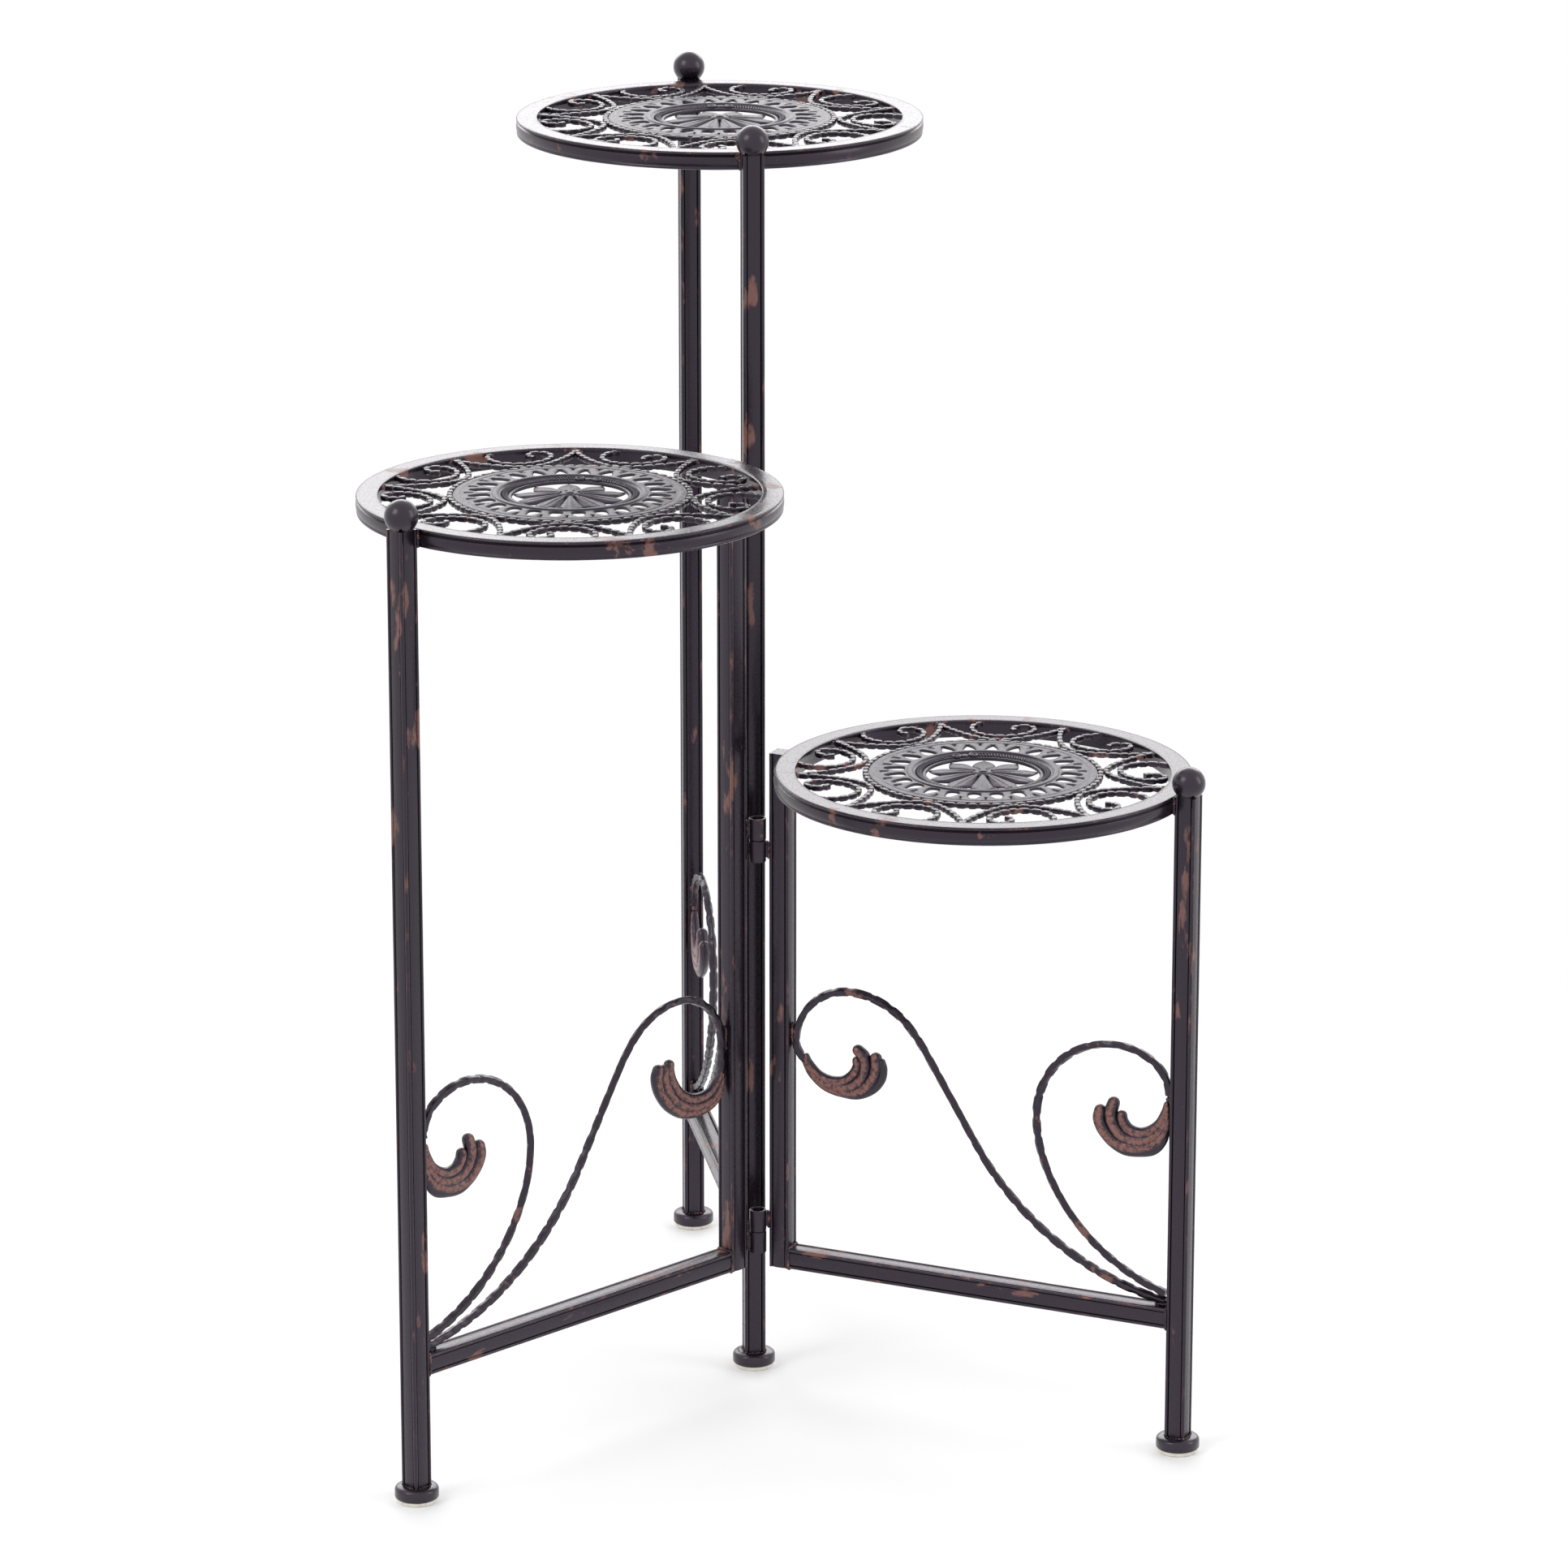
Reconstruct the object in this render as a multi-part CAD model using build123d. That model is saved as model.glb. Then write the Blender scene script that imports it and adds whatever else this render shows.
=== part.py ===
from build123d import *
import math
import os

# Folding three-tier plant stand: three hinged steel frames, each carrying one round pierced tray.
# Millimetres and degrees. +Z is up, and z = 0 is the floor under the glides.

# Trays and bar stock
tray_diameter = 228.0
ring_width = 12.0
ring_height = 10.0
bar_width = 12.0
weld_gap = 0.15

# Heights above the floor
rim_heights = {"tall": 700.0, "middle": 541.0, "low": 376.0}
stretcher_bottom = 72.0
upright_below_rim = 4.0
ball_above_rim = 6.8

# Balls and feet
ball_diameter = 18.0
ball_seat_depth = 2.2
foot_diameter = 24.0
foot_height = 7.0
foot_chamfer = 1.6
glide_diameter = 22.0
glide_height = 2.4
glide_sides = 24

# Plan of the open stand: which way each frame points, seen from its inner leg
middle_heading = 225.0
rear_wedge = 126.0
front_wedge = 110.0

# Hinges: how far each pivot stands beyond the inner legs, and out of the frames' planes
rear_reach = 14.0
rear_offset = 14.0
front_reach = 11.5
front_offset = 8.5
knuckle_diameter = 9.6
knuckle_length = 12.4
knuckle_gap = 0.3
pin_diameter = 6.4
pin_clearance = 0.05
pin_recess = 4.0
arm_thickness = 3.2
arm_height = 8.0
front_hinge_bottoms = (81.0, 310.0)
rear_hinge_bottoms = (66.5, 295.5)

# Scroll rods in the lower part of each frame: (radius, turn) arcs from the weld on the leg
rod_width = 4.2
rod_bend_step = 12.0
small_weld_height = 205.0
small_rod_arcs = ((22.0, 55.0), (38.0, 35.0), (47.0, 90.0), (75.0, 22.0), (105.0, 20.0))
tall_weld_height = 205.0
tall_rod_arcs = ((33.5, 90.0), (48.0, 50.0), (120.0, 8.0))
tall_rod_straight = 55.0

# Cast leaf curl at the end of each rod, measured from the leg's face and below the weld
leaf_thickness = 7.0
leaf_root_width = 4.6
leaf_depth = 36.5
leaf_reach = 46.0
leaf_root_gap = 0.3

# Pierced tray: nine cells of arch and hooked scroll round a band and a cast medallion
cell_count = 9
wire_width = 2.6
wire_height = 3.2
wire_below_rim = 0.6
arch_steps = 8
arch_fullness = 0.65
hook_points = (
    (-12.5, 37.5), (-16.2, 28.0), (-14.4, 17.6), (-8.0, 10.6), (1.0, 8.9), (10.0, 11.8),
    (16.4, 18.2), (18.8, 26.0), (15.6, 32.8), (9.4, 32.2), (6.2, 26.4), (8.0, 21.6),
)
band_outer_radius = 65.6
band_width = 3.2
medallion_clearance = 0.2
tray_turns = {"tall": 96.0, "middle": 90.0, "low": 102.0}
medallion_turns = {"tall": 90.0, "middle": 75.0, "low": 105.0}

# Medallion profile, measured from its axis and down from the rim
slot_count = 24
slot_inner_radius = 42.6
slot_outer_radius = 54.5
slot_width = 6.6
casting_sides = 24
petal_count = 10
petal_tip_radius = 31.6
petal_valley_radius = 17.5
petal_thickness = 2.0
boss_radius = 5.0
boss_height = 1.8
well_radius = 31.0
well_depth = 2.4
bead_radius = 40.0
bead_width = 3.4
plate_below_rim = 0.7
plate_thickness = 2.8

# Values worked out from the driving sizes
bar_half = bar_width / 2
bar_face_half = bar_half * 0.67
bar_face_crown = bar_half * 0.05
bar_groove_centre = bar_half * 0.72
bar_groove_depth = bar_half * 0.14
bar_bead_start = bar_half * 0.77
bar_bead_end = bar_half * 0.87
bar_bead_edge = bar_half * 0.04
tray_radius = tray_diameter / 2
leg_spacing = tray_diameter + bar_width + 2 * weld_gap
stretcher_centre = stretcher_bottom + bar_half
stretcher_top = stretcher_bottom + bar_width
foot_top = glide_height + foot_height
ring_inner_radius = tray_radius - ring_width
medallion_radius = band_outer_radius - band_width - medallion_clearance
knuckle_radius = knuckle_diameter / 2
pin_radius = pin_diameter / 2
bore_radius = pin_radius + pin_clearance
headings = {
    "tall": middle_heading - rear_wedge,
    "middle": middle_heading,
    "low": middle_heading + front_wedge,
}


# Plan geometry

def heading_vector(angle):
    return Vector(math.cos(math.radians(angle)), math.sin(math.radians(angle)), 0)


def left_of(direction):
    return Vector(-direction.Y, direction.X, 0)


def plan_layout():
    """Inner-leg positions and pivots, with the middle frame's inner leg at the origin."""
    along = {name: heading_vector(angle) for name, angle in headings.items()}
    rear_pivot = along["middle"] * -rear_reach - left_of(along["middle"]) * rear_offset
    front_pivot = along["middle"] * -front_reach + left_of(along["middle"]) * front_offset
    inner = {
        "tall": rear_pivot + along["tall"] * rear_reach - left_of(along["tall"]) * rear_offset,
        "middle": Vector(0, 0, 0),
        "low": front_pivot + along["low"] * front_reach + left_of(along["low"]) * front_offset,
    }
    outer = {name: inner[name] + along[name] * leg_spacing for name in inner}
    return inner, outer, rear_pivot, front_pivot


def plan_centre(inner, outer):
    """Middle of the box round the trays and feet, which becomes the origin."""
    rounds = [((inner[name] + outer[name]) / 2, tray_radius) for name in inner]
    rounds += [(outer[name], foot_diameter / 2) for name in outer]
    rounds.append((inner["tall"], foot_diameter / 2))
    low_x = min(point.X - radius for point, radius in rounds)
    high_x = max(point.X + radius for point, radius in rounds)
    low_y = min(point.Y - radius for point, radius in rounds)
    high_y = max(point.Y + radius for point, radius in rounds)
    return Vector((low_x + high_x) / 2, (low_y + high_y) / 2, 0)


inner_legs, outer_legs, rear_pivot, front_pivot = plan_layout()
origin = plan_centre(inner_legs, outer_legs)
inner_legs = {name: point - origin for name, point in inner_legs.items()}
outer_legs = {name: point - origin for name, point in outer_legs.items()}
rear_pivot = rear_pivot - origin
front_pivot = front_pivot - origin


def frame_place(name):
    """A frame is drawn with its outer leg at x = 0 and its inner leg at x = leg_spacing."""
    return Pos(outer_legs[name]) * Rot(0, 0, headings[name] + 180)


# Bars

def bar_side():
    """Corners of one crowned face, a groove, the bead on the next corner and a groove."""
    shoulder = bar_half - bar_face_crown
    floor = bar_half - bar_groove_depth
    bead_edge = bar_half - bar_bead_edge
    return [
        (-bar_face_half, shoulder),
        (0, bar_half),
        (bar_face_half, shoulder),
        (bar_groove_centre, floor),
        (bar_bead_start, bead_edge),
        (bar_bead_end, bead_edge),
        (bead_edge, bar_bead_end),
        (bead_edge, bar_bead_start),
        (floor, bar_groove_centre),
    ]


def bar_section():
    """Square bar with a crowned face on each side and a bead on each corner."""
    corners = []
    for turn in range(4):
        corners += [Vector(*point).rotate(Axis.Z, -90 * turn) for point in bar_side()]
    return make_face(Polyline(*corners, close=True))


def leg(x, bottom, top):
    return Pos(x, 0, bottom) * extrude(bar_section(), top - bottom)


def ball_leg_top(rim):
    return rim + ball_above_rim - ball_diameter / 2 + ball_seat_depth


def outer_leg(rim):
    return leg(0, foot_top, ball_leg_top(rim))


def inner_leg(rim, reaches_floor):
    if reaches_floor:
        return leg(leg_spacing, foot_top, ball_leg_top(rim))
    return leg(leg_spacing, stretcher_bottom, rim - upright_below_rim)


def stretcher():
    length = leg_spacing - bar_width - 2 * weld_gap
    bar = extrude(bar_section(), length)
    return Pos(bar_half + weld_gap, 0, stretcher_centre) * Rot(0, 90, 0) * bar


def balls(rim, leg_positions):
    """Each ball is cut flat where it is welded to its leg."""
    centre = rim + ball_above_rim
    seat = Pos(0, 0, ball_leg_top(rim) - ball_diameter) * Box(
        ball_diameter, ball_diameter, ball_diameter * 2
    )
    ball = Pos(0, 0, centre) * Sphere(ball_diameter / 2)
    return [Pos(x, 0, 0) * (ball - seat) for x in leg_positions]


def disc(diameter, bottom, height):
    align = (Align.CENTER, Align.CENTER, Align.MIN)
    return Pos(0, 0, bottom) * Cylinder(diameter / 2, height, align=align)


def feet(leg_positions):
    """Flat round caps on which the legs stand."""
    cap = disc(foot_diameter, glide_height, foot_height)
    cap = chamfer(cap.edges().sort_by(Axis.Z)[-1], foot_chamfer)
    return [Pos(x, 0, 0) * cap for x in leg_positions]


def glides(leg_positions):
    glide = extrude(RegularPolygon(glide_diameter / 2, glide_sides), glide_height)
    return [Pos(x, 0, 0) * glide for x in leg_positions]


# Scroll rods and leaves, drawn in the frame's plane

def turn_point(point, heading, radius, turn):
    """End of an arc that starts at point on heading and bends by turn, positive to the left."""
    side = math.copysign(90, turn)
    centre = point + heading_vector(heading + side) * radius
    return centre - heading_vector(heading + side + turn) * radius


def bend(point, heading, radius, turn):
    """Corners along an arc, one for every few degrees of turn, and its end."""
    steps = math.ceil(abs(turn) / rod_bend_step)
    return [turn_point(point, heading, radius, turn * k / steps) for k in range(1, steps + 1)]


def last_bend(point, heading, end):
    """The arc that leaves point on heading and runs through end."""
    chord = end - point
    lean = math.degrees(math.atan2(chord.Y, chord.X)) - heading
    lean = (lean + 180) % 360 - 180
    radius = chord.length / (2 * math.sin(math.radians(abs(lean))))
    return bend(point, heading, radius, 2 * lean)


def rod_line(start, turn_sign, arcs, straight, end):
    """Arcs from the weld, over the top, and one last arc that runs into the frame's corner."""
    points = [Vector(*start)]
    heading = 90.0
    for radius, turn in arcs:
        points += bend(points[-1], heading, radius, turn * turn_sign)
        heading += turn * turn_sign
    if straight:
        points.append(points[-1] + heading_vector(heading) * straight)
    points += last_bend(points[-1], heading, Vector(*end))
    return Polyline(*points)


def square_rod(line):
    """Square rod swept along a line in the frame's plane."""
    path = Rot(90, 0, 0) * line
    start = Plane(origin=path @ 0, z_dir=path % 0, x_dir=(0, 1, 0))
    return sweep(start * Rectangle(rod_width, rod_width), path, transition=Transition.RIGHT)


def rod_contact():
    return bar_half + weld_gap + rod_width / 2


def small_rod():
    start = (rod_contact(), small_weld_height)
    foot = (rod_contact(), stretcher_top + weld_gap + rod_width * 1.6)
    return square_rod(rod_line(start, -1, small_rod_arcs, 0, foot))


def tall_rod():
    """The tall rod springs from the inner leg and lies lowest in the corner."""
    start = (leg_spacing - rod_contact(), tall_weld_height)
    foot = (rod_contact(), stretcher_top + weld_gap + rod_width / 2)
    return square_rod(rod_line(start, 1, tall_rod_arcs, tall_rod_straight, foot))


def leaf_outline():
    """Curled leaf: root on the leg at the top left, tip curled up on the right."""
    shares = [
        (0, 0), (0, 0.36), (0.06, 0.6), (0.18, 0.79), (0.34, 0.94), (0.52, 1), (0.72, 0.96),
        (0.87, 0.85), (0.97, 0.67), (1, 0.47), (0.97, 0.3), (0.88, 0.13), (0.76, 0),
        (0.69, 0.07), (0.63, 0.18), (0.62, 0.31), (0.58, 0.44), (0.48, 0.51), (0.36, 0.5),
        (0.26, 0.41), (0.17, 0.26), (leaf_root_width / leaf_reach, 0),
    ]
    return make_face(Polyline(*[(x * leaf_reach, -z * leaf_depth) for x, z in shares], close=True))


def leaf(face_x, direction, weld_height):
    """A leaf hangs below its weld, with its root against the leg's face."""
    outline = leaf_outline()
    if direction < 0:
        outline = mirror(outline, Plane.YZ)
    solid = extrude(outline, leaf_thickness / 2, both=True)
    upright = Rot(90, 0, 0) * solid
    return Pos(face_x, 0, weld_height - leaf_root_gap) * upright


def leaves():
    left_face = bar_half + weld_gap
    return [
        leaf(left_face, 1, small_weld_height),
        leaf(leg_spacing - left_face, -1, tall_weld_height),
    ]


# Tray

def tray_place(rim, turn=0.0):
    """Tray axis at the middle of the frame, with z = 0 at the top of the rim."""
    return Pos(leg_spacing / 2, 0, rim) * Rot(0, 0, turn)


def tray_ring(rim):
    ring = Cylinder(tray_radius, ring_height) - Cylinder(ring_inner_radius, 2 * ring_height)
    return tray_place(rim) * Pos(0, 0, -ring_height / 2) * ring


def flat_wire(points):
    """Square wire lying flat, its top just under the rim."""
    path = Pos(0, 0, -wire_below_rim - wire_height / 2) * Polyline(*points)
    start = Plane(origin=path @ 0, z_dir=path % 0, x_dir=(0, 0, 1))
    return sweep(start * Rectangle(wire_height, wire_width), path, transition=Transition.RIGHT)


def cell_space():
    """What a cell holds: a wedge between its neighbours, inside the ring's bore."""
    half_angle = math.radians(180 / cell_count) - weld_gap / 2 / ring_inner_radius
    edge = tray_radius * math.tan(half_angle)
    wedge = make_face(Polyline((0, 0), (edge, tray_radius), (-edge, tray_radius), close=True))
    bore = Circle(ring_inner_radius - weld_gap)
    return extrude(wedge & bore, 2 * ring_height, both=True)


def arch():
    """Arch that hangs from two peaks on the ring, its crown on the band."""
    crown = band_outer_radius + weld_gap + wire_width / 2
    depth = ring_inner_radius - crown
    points = []
    for k in range(-arch_steps // 2, arch_steps // 2 + 1):
        share = math.sin(math.pi * k / arch_steps)
        radius = crown + depth * (1 - (1 - share**2) ** arch_fullness)
        points.append(heading_vector(90 - share * 180 / cell_count) * radius)
    return flat_wire(points) & cell_space()


def hook():
    """Scroll inside an arch: down from the rim, round under, and curled in on itself."""
    points = [(x, band_outer_radius + y) for x, y in hook_points]
    return flat_wire(points) & cell_space()


def round_the_tray(piece, rim, turn):
    step = 360 / cell_count
    return [tray_place(rim, turn - 90 + (k + 0.5) * step) * piece for k in range(cell_count)]


def casting_disc(radius, top, height):
    """Cast disc with its top at the given height under the rim."""
    return Pos(0, 0, top - height) * extrude(RegularPolygon(radius, casting_sides), height)


def tray_band(rim, turn):
    top = -wire_below_rim
    band = casting_disc(band_outer_radius, top, wire_height)
    band -= casting_disc(band_outer_radius - band_width, ring_height, 2 * ring_height)
    return tray_place(rim, turn) * band


def medallion_slots():
    """Lancet openings, pointed outwards."""
    half = slot_width / 2
    belly = (slot_inner_radius + slot_outer_radius) / 2
    lancet = Polyline(
        (-half, slot_inner_radius), (-half * 0.82, belly), (0, slot_outer_radius),
        (half * 0.82, belly), (half, slot_inner_radius),
        close=True,
    )
    slot = extrude(make_face(lancet), 2 * ring_height, both=True)
    step = 360 / slot_count
    return [Rot(0, 0, -90 + (k + 0.5) * step) * slot for k in range(slot_count)]


def medallion_plate():
    """Pierced plate with a raised bead round a well whose wall slopes inwards."""
    plate = casting_disc(medallion_radius, -plate_below_rim, plate_thickness)
    plate += casting_disc(bead_radius + bead_width / 2, 0, plate_below_rim + plate_thickness)
    well = loft([
        Pos(0, 0, 0) * RegularPolygon(bead_radius - bead_width / 2, casting_sides),
        Pos(0, 0, -well_depth) * RegularPolygon(well_radius, casting_sides),
    ])
    throat = casting_disc(well_radius, ring_height, 2 * ring_height)
    return plate - well - throat


def medallion_flower():
    """Rosette with pointed petals that fall away from a boss to the edge of the well."""
    points = []
    for k in range(2 * petal_count):
        radius = petal_valley_radius if k % 2 == 0 else petal_tip_radius
        points.append(heading_vector(k * 180 / petal_count) * radius)
    star = extrude(make_face(Polyline(*points, close=True)), petal_thickness)
    flower = Pos(0, 0, -well_depth - petal_thickness) * star
    boss = loft([
        Pos(0, 0, -well_depth) * RegularPolygon(boss_radius * 1.6, petal_count),
        Pos(0, 0, -well_depth + boss_height) * RegularPolygon(boss_radius, petal_count),
    ])
    return flower + boss


def medallion(rim, turn):
    casting = medallion_plate() - medallion_slots()
    casting += medallion_flower()
    return tray_place(rim, turn) * casting


# Hinges

def knuckle(side, reach, offset, bottom):
    """Open tube with a short arm welded to the corner of the inner leg."""
    turn = math.degrees(math.atan2(-side * offset, -reach))
    span = math.hypot(reach, offset)
    to_corner = (bar_half - bar_bead_edge + bar_bead_end) * span / (reach + offset)
    length = span - to_corner - 2 * weld_gap
    align = (Align.MIN, Align.CENTER, Align.CENTER)
    arm = Rot(0, 0, turn) * Box(length, arm_thickness, arm_height, align=align)
    solid = Cylinder(knuckle_radius, knuckle_length) + arm - Cylinder(bore_radius, knuckle_length)
    return Pos(leg_spacing + reach, side * offset, bottom + knuckle_length / 2) * solid


def knuckles(side, reach, offset, bottoms, takes_upper):
    """One knuckle at each hinge height: takes_upper says where this frame's knuckle is on top."""
    step = knuckle_length + knuckle_gap
    result = []
    for bottom, upper in zip(bottoms, takes_upper):
        result.append(knuckle(side, reach, offset, bottom + step * upper))
    return result


def hinge_pins(pivot, bottoms):
    """Pins that stand in the lower knuckles and stop short of the open tops."""
    length = 2 * knuckle_length + knuckle_gap - pin_recess
    pin = Cylinder(pin_radius, length, align=(Align.CENTER, Align.CENTER, Align.MIN))
    return [Pos(pivot.X, pivot.Y, bottom) * pin for bottom in bottoms]


# Assembly

def frame_nodes(name):
    rim = rim_heights[name]
    reaches_floor = name == "tall"
    standing = [0, leg_spacing] if reaches_floor else [0]
    turn = tray_turns[name] - headings[name] - 180
    medallion_turn = medallion_turns[name] - headings[name] - 180
    nodes = {
        "outer_leg": [outer_leg(rim)],
        "inner_leg": [inner_leg(rim, reaches_floor)],
        "stretcher": [stretcher()],
        "balls_and_feet": balls(rim, standing) + feet(standing),
        "glides": glides(standing),
        "small_scroll": [small_rod()],
        "tall_scroll": [tall_rod()],
        "leaves": leaves(),
        "tray_ring": [tray_ring(rim)],
        "tray_arches": round_the_tray(arch(), rim, turn),
        "tray_hooks": round_the_tray(hook(), rim, turn),
        "tray_band": [tray_band(rim, medallion_turn)],
        "tray_medallion": [medallion(rim, medallion_turn)],
    }
    rear = (rear_reach, rear_offset, rear_hinge_bottoms)
    front = (front_reach, front_offset, front_hinge_bottoms)
    if name == "tall":
        nodes["rear_knuckles"] = knuckles(-1, *rear, (1, 0))
    if name == "middle":
        nodes["rear_knuckles"] = knuckles(1, *rear, (0, 1))
        nodes["front_knuckles"] = knuckles(-1, *front, (0, 1))
    if name == "low":
        nodes["front_knuckles"] = knuckles(1, *front, (1, 0))
    return nodes


def write_node(name, solids):
    shape = solids[0] if len(solids) == 1 else Compound(children=solids)
    export_step(shape, f"parts/{name}.step")


def main():
    os.makedirs("parts", exist_ok=True)
    for name in rim_heights:
        place = frame_place(name)
        for node, solids in frame_nodes(name).items():
            write_node(f"{name}_{node}", [place * solid for solid in solids])
    write_node("rear_hinge_pins", hinge_pins(rear_pivot, rear_hinge_bottoms))
    write_node("front_hinge_pins", hinge_pins(front_pivot, front_hinge_bottoms))


main()
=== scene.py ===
import math
import random
import bpy
from mathutils import Matrix, Vector


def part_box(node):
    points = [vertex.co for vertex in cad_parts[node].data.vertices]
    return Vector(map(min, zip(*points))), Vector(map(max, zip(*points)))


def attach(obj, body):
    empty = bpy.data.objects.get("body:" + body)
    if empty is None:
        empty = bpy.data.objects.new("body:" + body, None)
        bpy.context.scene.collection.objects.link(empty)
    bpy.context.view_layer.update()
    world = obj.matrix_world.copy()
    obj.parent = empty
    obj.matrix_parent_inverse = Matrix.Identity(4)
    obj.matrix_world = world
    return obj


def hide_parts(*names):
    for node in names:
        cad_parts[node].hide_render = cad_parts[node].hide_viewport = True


# Folding three-tier plant stand in antiqued metal. Pieces are drawn in millimetres in their frame's own
# plane (x from the outer leg to the inner leg, z up from the floor) and then put in place in metres.

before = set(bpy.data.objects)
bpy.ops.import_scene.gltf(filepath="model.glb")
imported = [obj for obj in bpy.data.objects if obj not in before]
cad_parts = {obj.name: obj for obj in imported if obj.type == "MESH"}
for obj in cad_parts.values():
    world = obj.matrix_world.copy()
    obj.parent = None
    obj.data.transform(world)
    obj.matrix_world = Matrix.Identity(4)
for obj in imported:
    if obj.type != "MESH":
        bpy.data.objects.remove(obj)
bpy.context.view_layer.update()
MM = 0.001
FRAMES = ("tall", "middle", "low")

# Driving sizes, in millimetres
bar_width = 12.0
bar_half = bar_width / 2
ball_radius = 8.99
ball_above_rim = 6.8
ball_weld_ring = 5.4
foot_radius = 12.0
foot_height = 7.0
glide_radius = 11.0
glide_height = 2.4
foot_top = glide_height + foot_height
ring_centre_radius = 108.0
ring_height = 10.0
stretcher_centre = 78.0
weld_gap = 0.15
rod_width = 4.2
weld_height = 205.0
wire_width = 3.3
wire_height = 3.2
wire_below_rim = 0.6
wire_level = -wire_below_rim - wire_height / 2
cell_count = 9
arch_fullness = 0.65
arch_end_gap = 0.9
arch_spread = 178.6
band_width = 3.2
band_outer_radius = 65.6
medallion_radius = 62.2
bore_radius = 102.0
plate_top = -0.7
plate_bottom = -3.5
plate_thin_bottom = -2.0
well_radius = 31.0
well_depth = 2.4
bead_radius = 40.0
bead_half = 1.7
bead_rise = 0.7
slot_count = 24
slot_inner_radius = 42.6
slot_outer_radius = 54.5
slot_half = 3.3
slot_round_end = 0.25
slot_edge_width = 1.5
slot_edge_drop = 0.85
lip_half = 0.9
lip_rise = 0.55
chip_start = 51.6
chip_end = 56.8
chip_depth = 1.1
groove_radius = 58.0
groove_half = 0.5
groove_depth = 0.22
rim_round = 0.8
rim_drop = 0.35
petal_count = 10
petal_tip = 31.4
petal_valley = 21.5
petal_start = 3.0
petal_bulge = 0.07
moulding_radius = 34.9
rib_count = 132
tray_turns = {"tall": 96.0, "middle": 90.0, "low": 102.0}
medallion_turns = {"tall": 90.0, "middle": 75.0, "low": 105.0}
rear_hinge = {"reach": 14.0, "offset": 14.0, "bottoms": (66.5, 295.5)}
front_hinge = {"reach": 11.5, "offset": 8.5, "bottoms": (81.0, 310.0)}
knuckle_radius = 4.8
knuckle_length = 12.4
knuckle_gap = 0.3
bore = 3.25
arm_thickness = 3.2
arm_height = 8.0
pin_radius = 3.2
pin_recess = 4.0


# Where each frame stands

def turned(degrees):
    """Turn about the z axis."""
    return Matrix.Rotation(math.radians(degrees), 4, "Z")


def axis_of(node):
    low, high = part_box(node)
    return (low + high) / 2


class Upright:
    """One frame of the stand: its rim height and where its legs are."""

    def __init__(self, name):
        outer = axis_of(name + "_outer_leg")
        inner = axis_of(name + "_inner_leg")
        self.name = name
        self.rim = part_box(name + "_tray_ring")[1].z / MM
        self.span = math.hypot(inner.x - outer.x, inner.y - outer.y) / MM
        self.heading = math.degrees(math.atan2(outer.y - inner.y, outer.x - inner.x))
        self.place = Matrix.Translation((outer.x, outer.y, 0)) @ turned(self.heading + 180)
        self.tray_turn = tray_turns[name] - self.heading - 180
        self.medallion_turn = medallion_turns[name] - self.heading - 180
        self.upright_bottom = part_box(name + "_inner_leg")[0].z / MM
        self.upright_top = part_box(name + "_inner_leg")[1].z / MM
        self.leg_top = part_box(name + "_outer_leg")[1].z / MM
        self.standing = [0.0, self.span] if name == "tall" else [0.0]

    def tray(self, turn=0.0):
        """Tray axis with z = 0 at the rim, in the frame's own plane, in millimetres."""
        return Matrix.Translation((self.span / 2, 0, self.rim)) @ turned(turn)

    def cell(self, index):
        """Tray axis turned so that y runs out through the middle of a cell."""
        return self.tray(self.tray_turn - 90 + (index + 0.5) * 360 / cell_count)


uprights = {name: Upright(name) for name in FRAMES}


# Shader and geometry trees

def put(tree, kind, inputs=None, **settings):
    """A node with its settings and inputs: sockets are linked, values are set."""
    node = tree.nodes.new(kind)
    for key, value in settings.items():
        setattr(node, key, value)
    for key, value in (inputs or {}).items():
        if isinstance(value, bpy.types.NodeSocket):
            tree.links.new(value, node.inputs[key])
        else:
            node.inputs[key].default_value = value
    return node


def reckon(tree, operation, *terms):
    """Output of a math node on sockets or numbers."""
    kind = "ShaderNodeMath"
    return put(tree, kind, dict(enumerate(terms)), operation=operation).outputs[0]


def ease(tree, value, start, end, low=0.0, high=1.0):
    """Smooth step of a value from start to end."""
    numbers = {"Value": value, "From Min": start, "From Max": end, "To Min": low, "To Max": high}
    return put(tree, "ShaderNodeMapRange", numbers, interpolation_type="SMOOTHSTEP").outputs[0]


def noise(tree, position, size, detail=2.0, roughness=0.5):
    """Noise whose patches are about the given number of metres across."""
    if isinstance(size, bpy.types.NodeSocket):
        scale = reckon(tree, "DIVIDE", 1.0, size)
    else:
        scale = 1.0 / size
    numbers = {"Vector": position, "Scale": scale, "Detail": detail, "Roughness": roughness}
    return put(tree, "ShaderNodeTexNoise", numbers).outputs[0]


def scaled(tree, vector, factor):
    """A vector or colour times a number."""
    return put(tree, "ShaderNodeVectorMath", {0: vector, "Scale": factor}, operation="SCALE").outputs[0]


def blend_colours(tree, share, first, second):
    """The first colour where the share is 0, the second where it is 1."""
    return put(tree, "ShaderNodeMix", {0: share, 6: first, 7: second}, data_type="RGBA").outputs[2]


def open_tree(name, kind, sockets, results):
    """Empty node tree with named inputs and outputs."""
    tree = bpy.data.node_groups.new(name, kind)
    for label, socket_type, value in sockets:
        socket = tree.interface.new_socket(label, in_out="INPUT", socket_type=socket_type)
        if value is not None:
            socket.default_value = value
    for label, socket_type in results:
        tree.interface.new_socket(label, in_out="OUTPUT", socket_type=socket_type)
    source = tree.nodes.new("NodeGroupInput").outputs
    target = tree.nodes.new("NodeGroupOutput").inputs
    return tree, source, target


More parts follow.
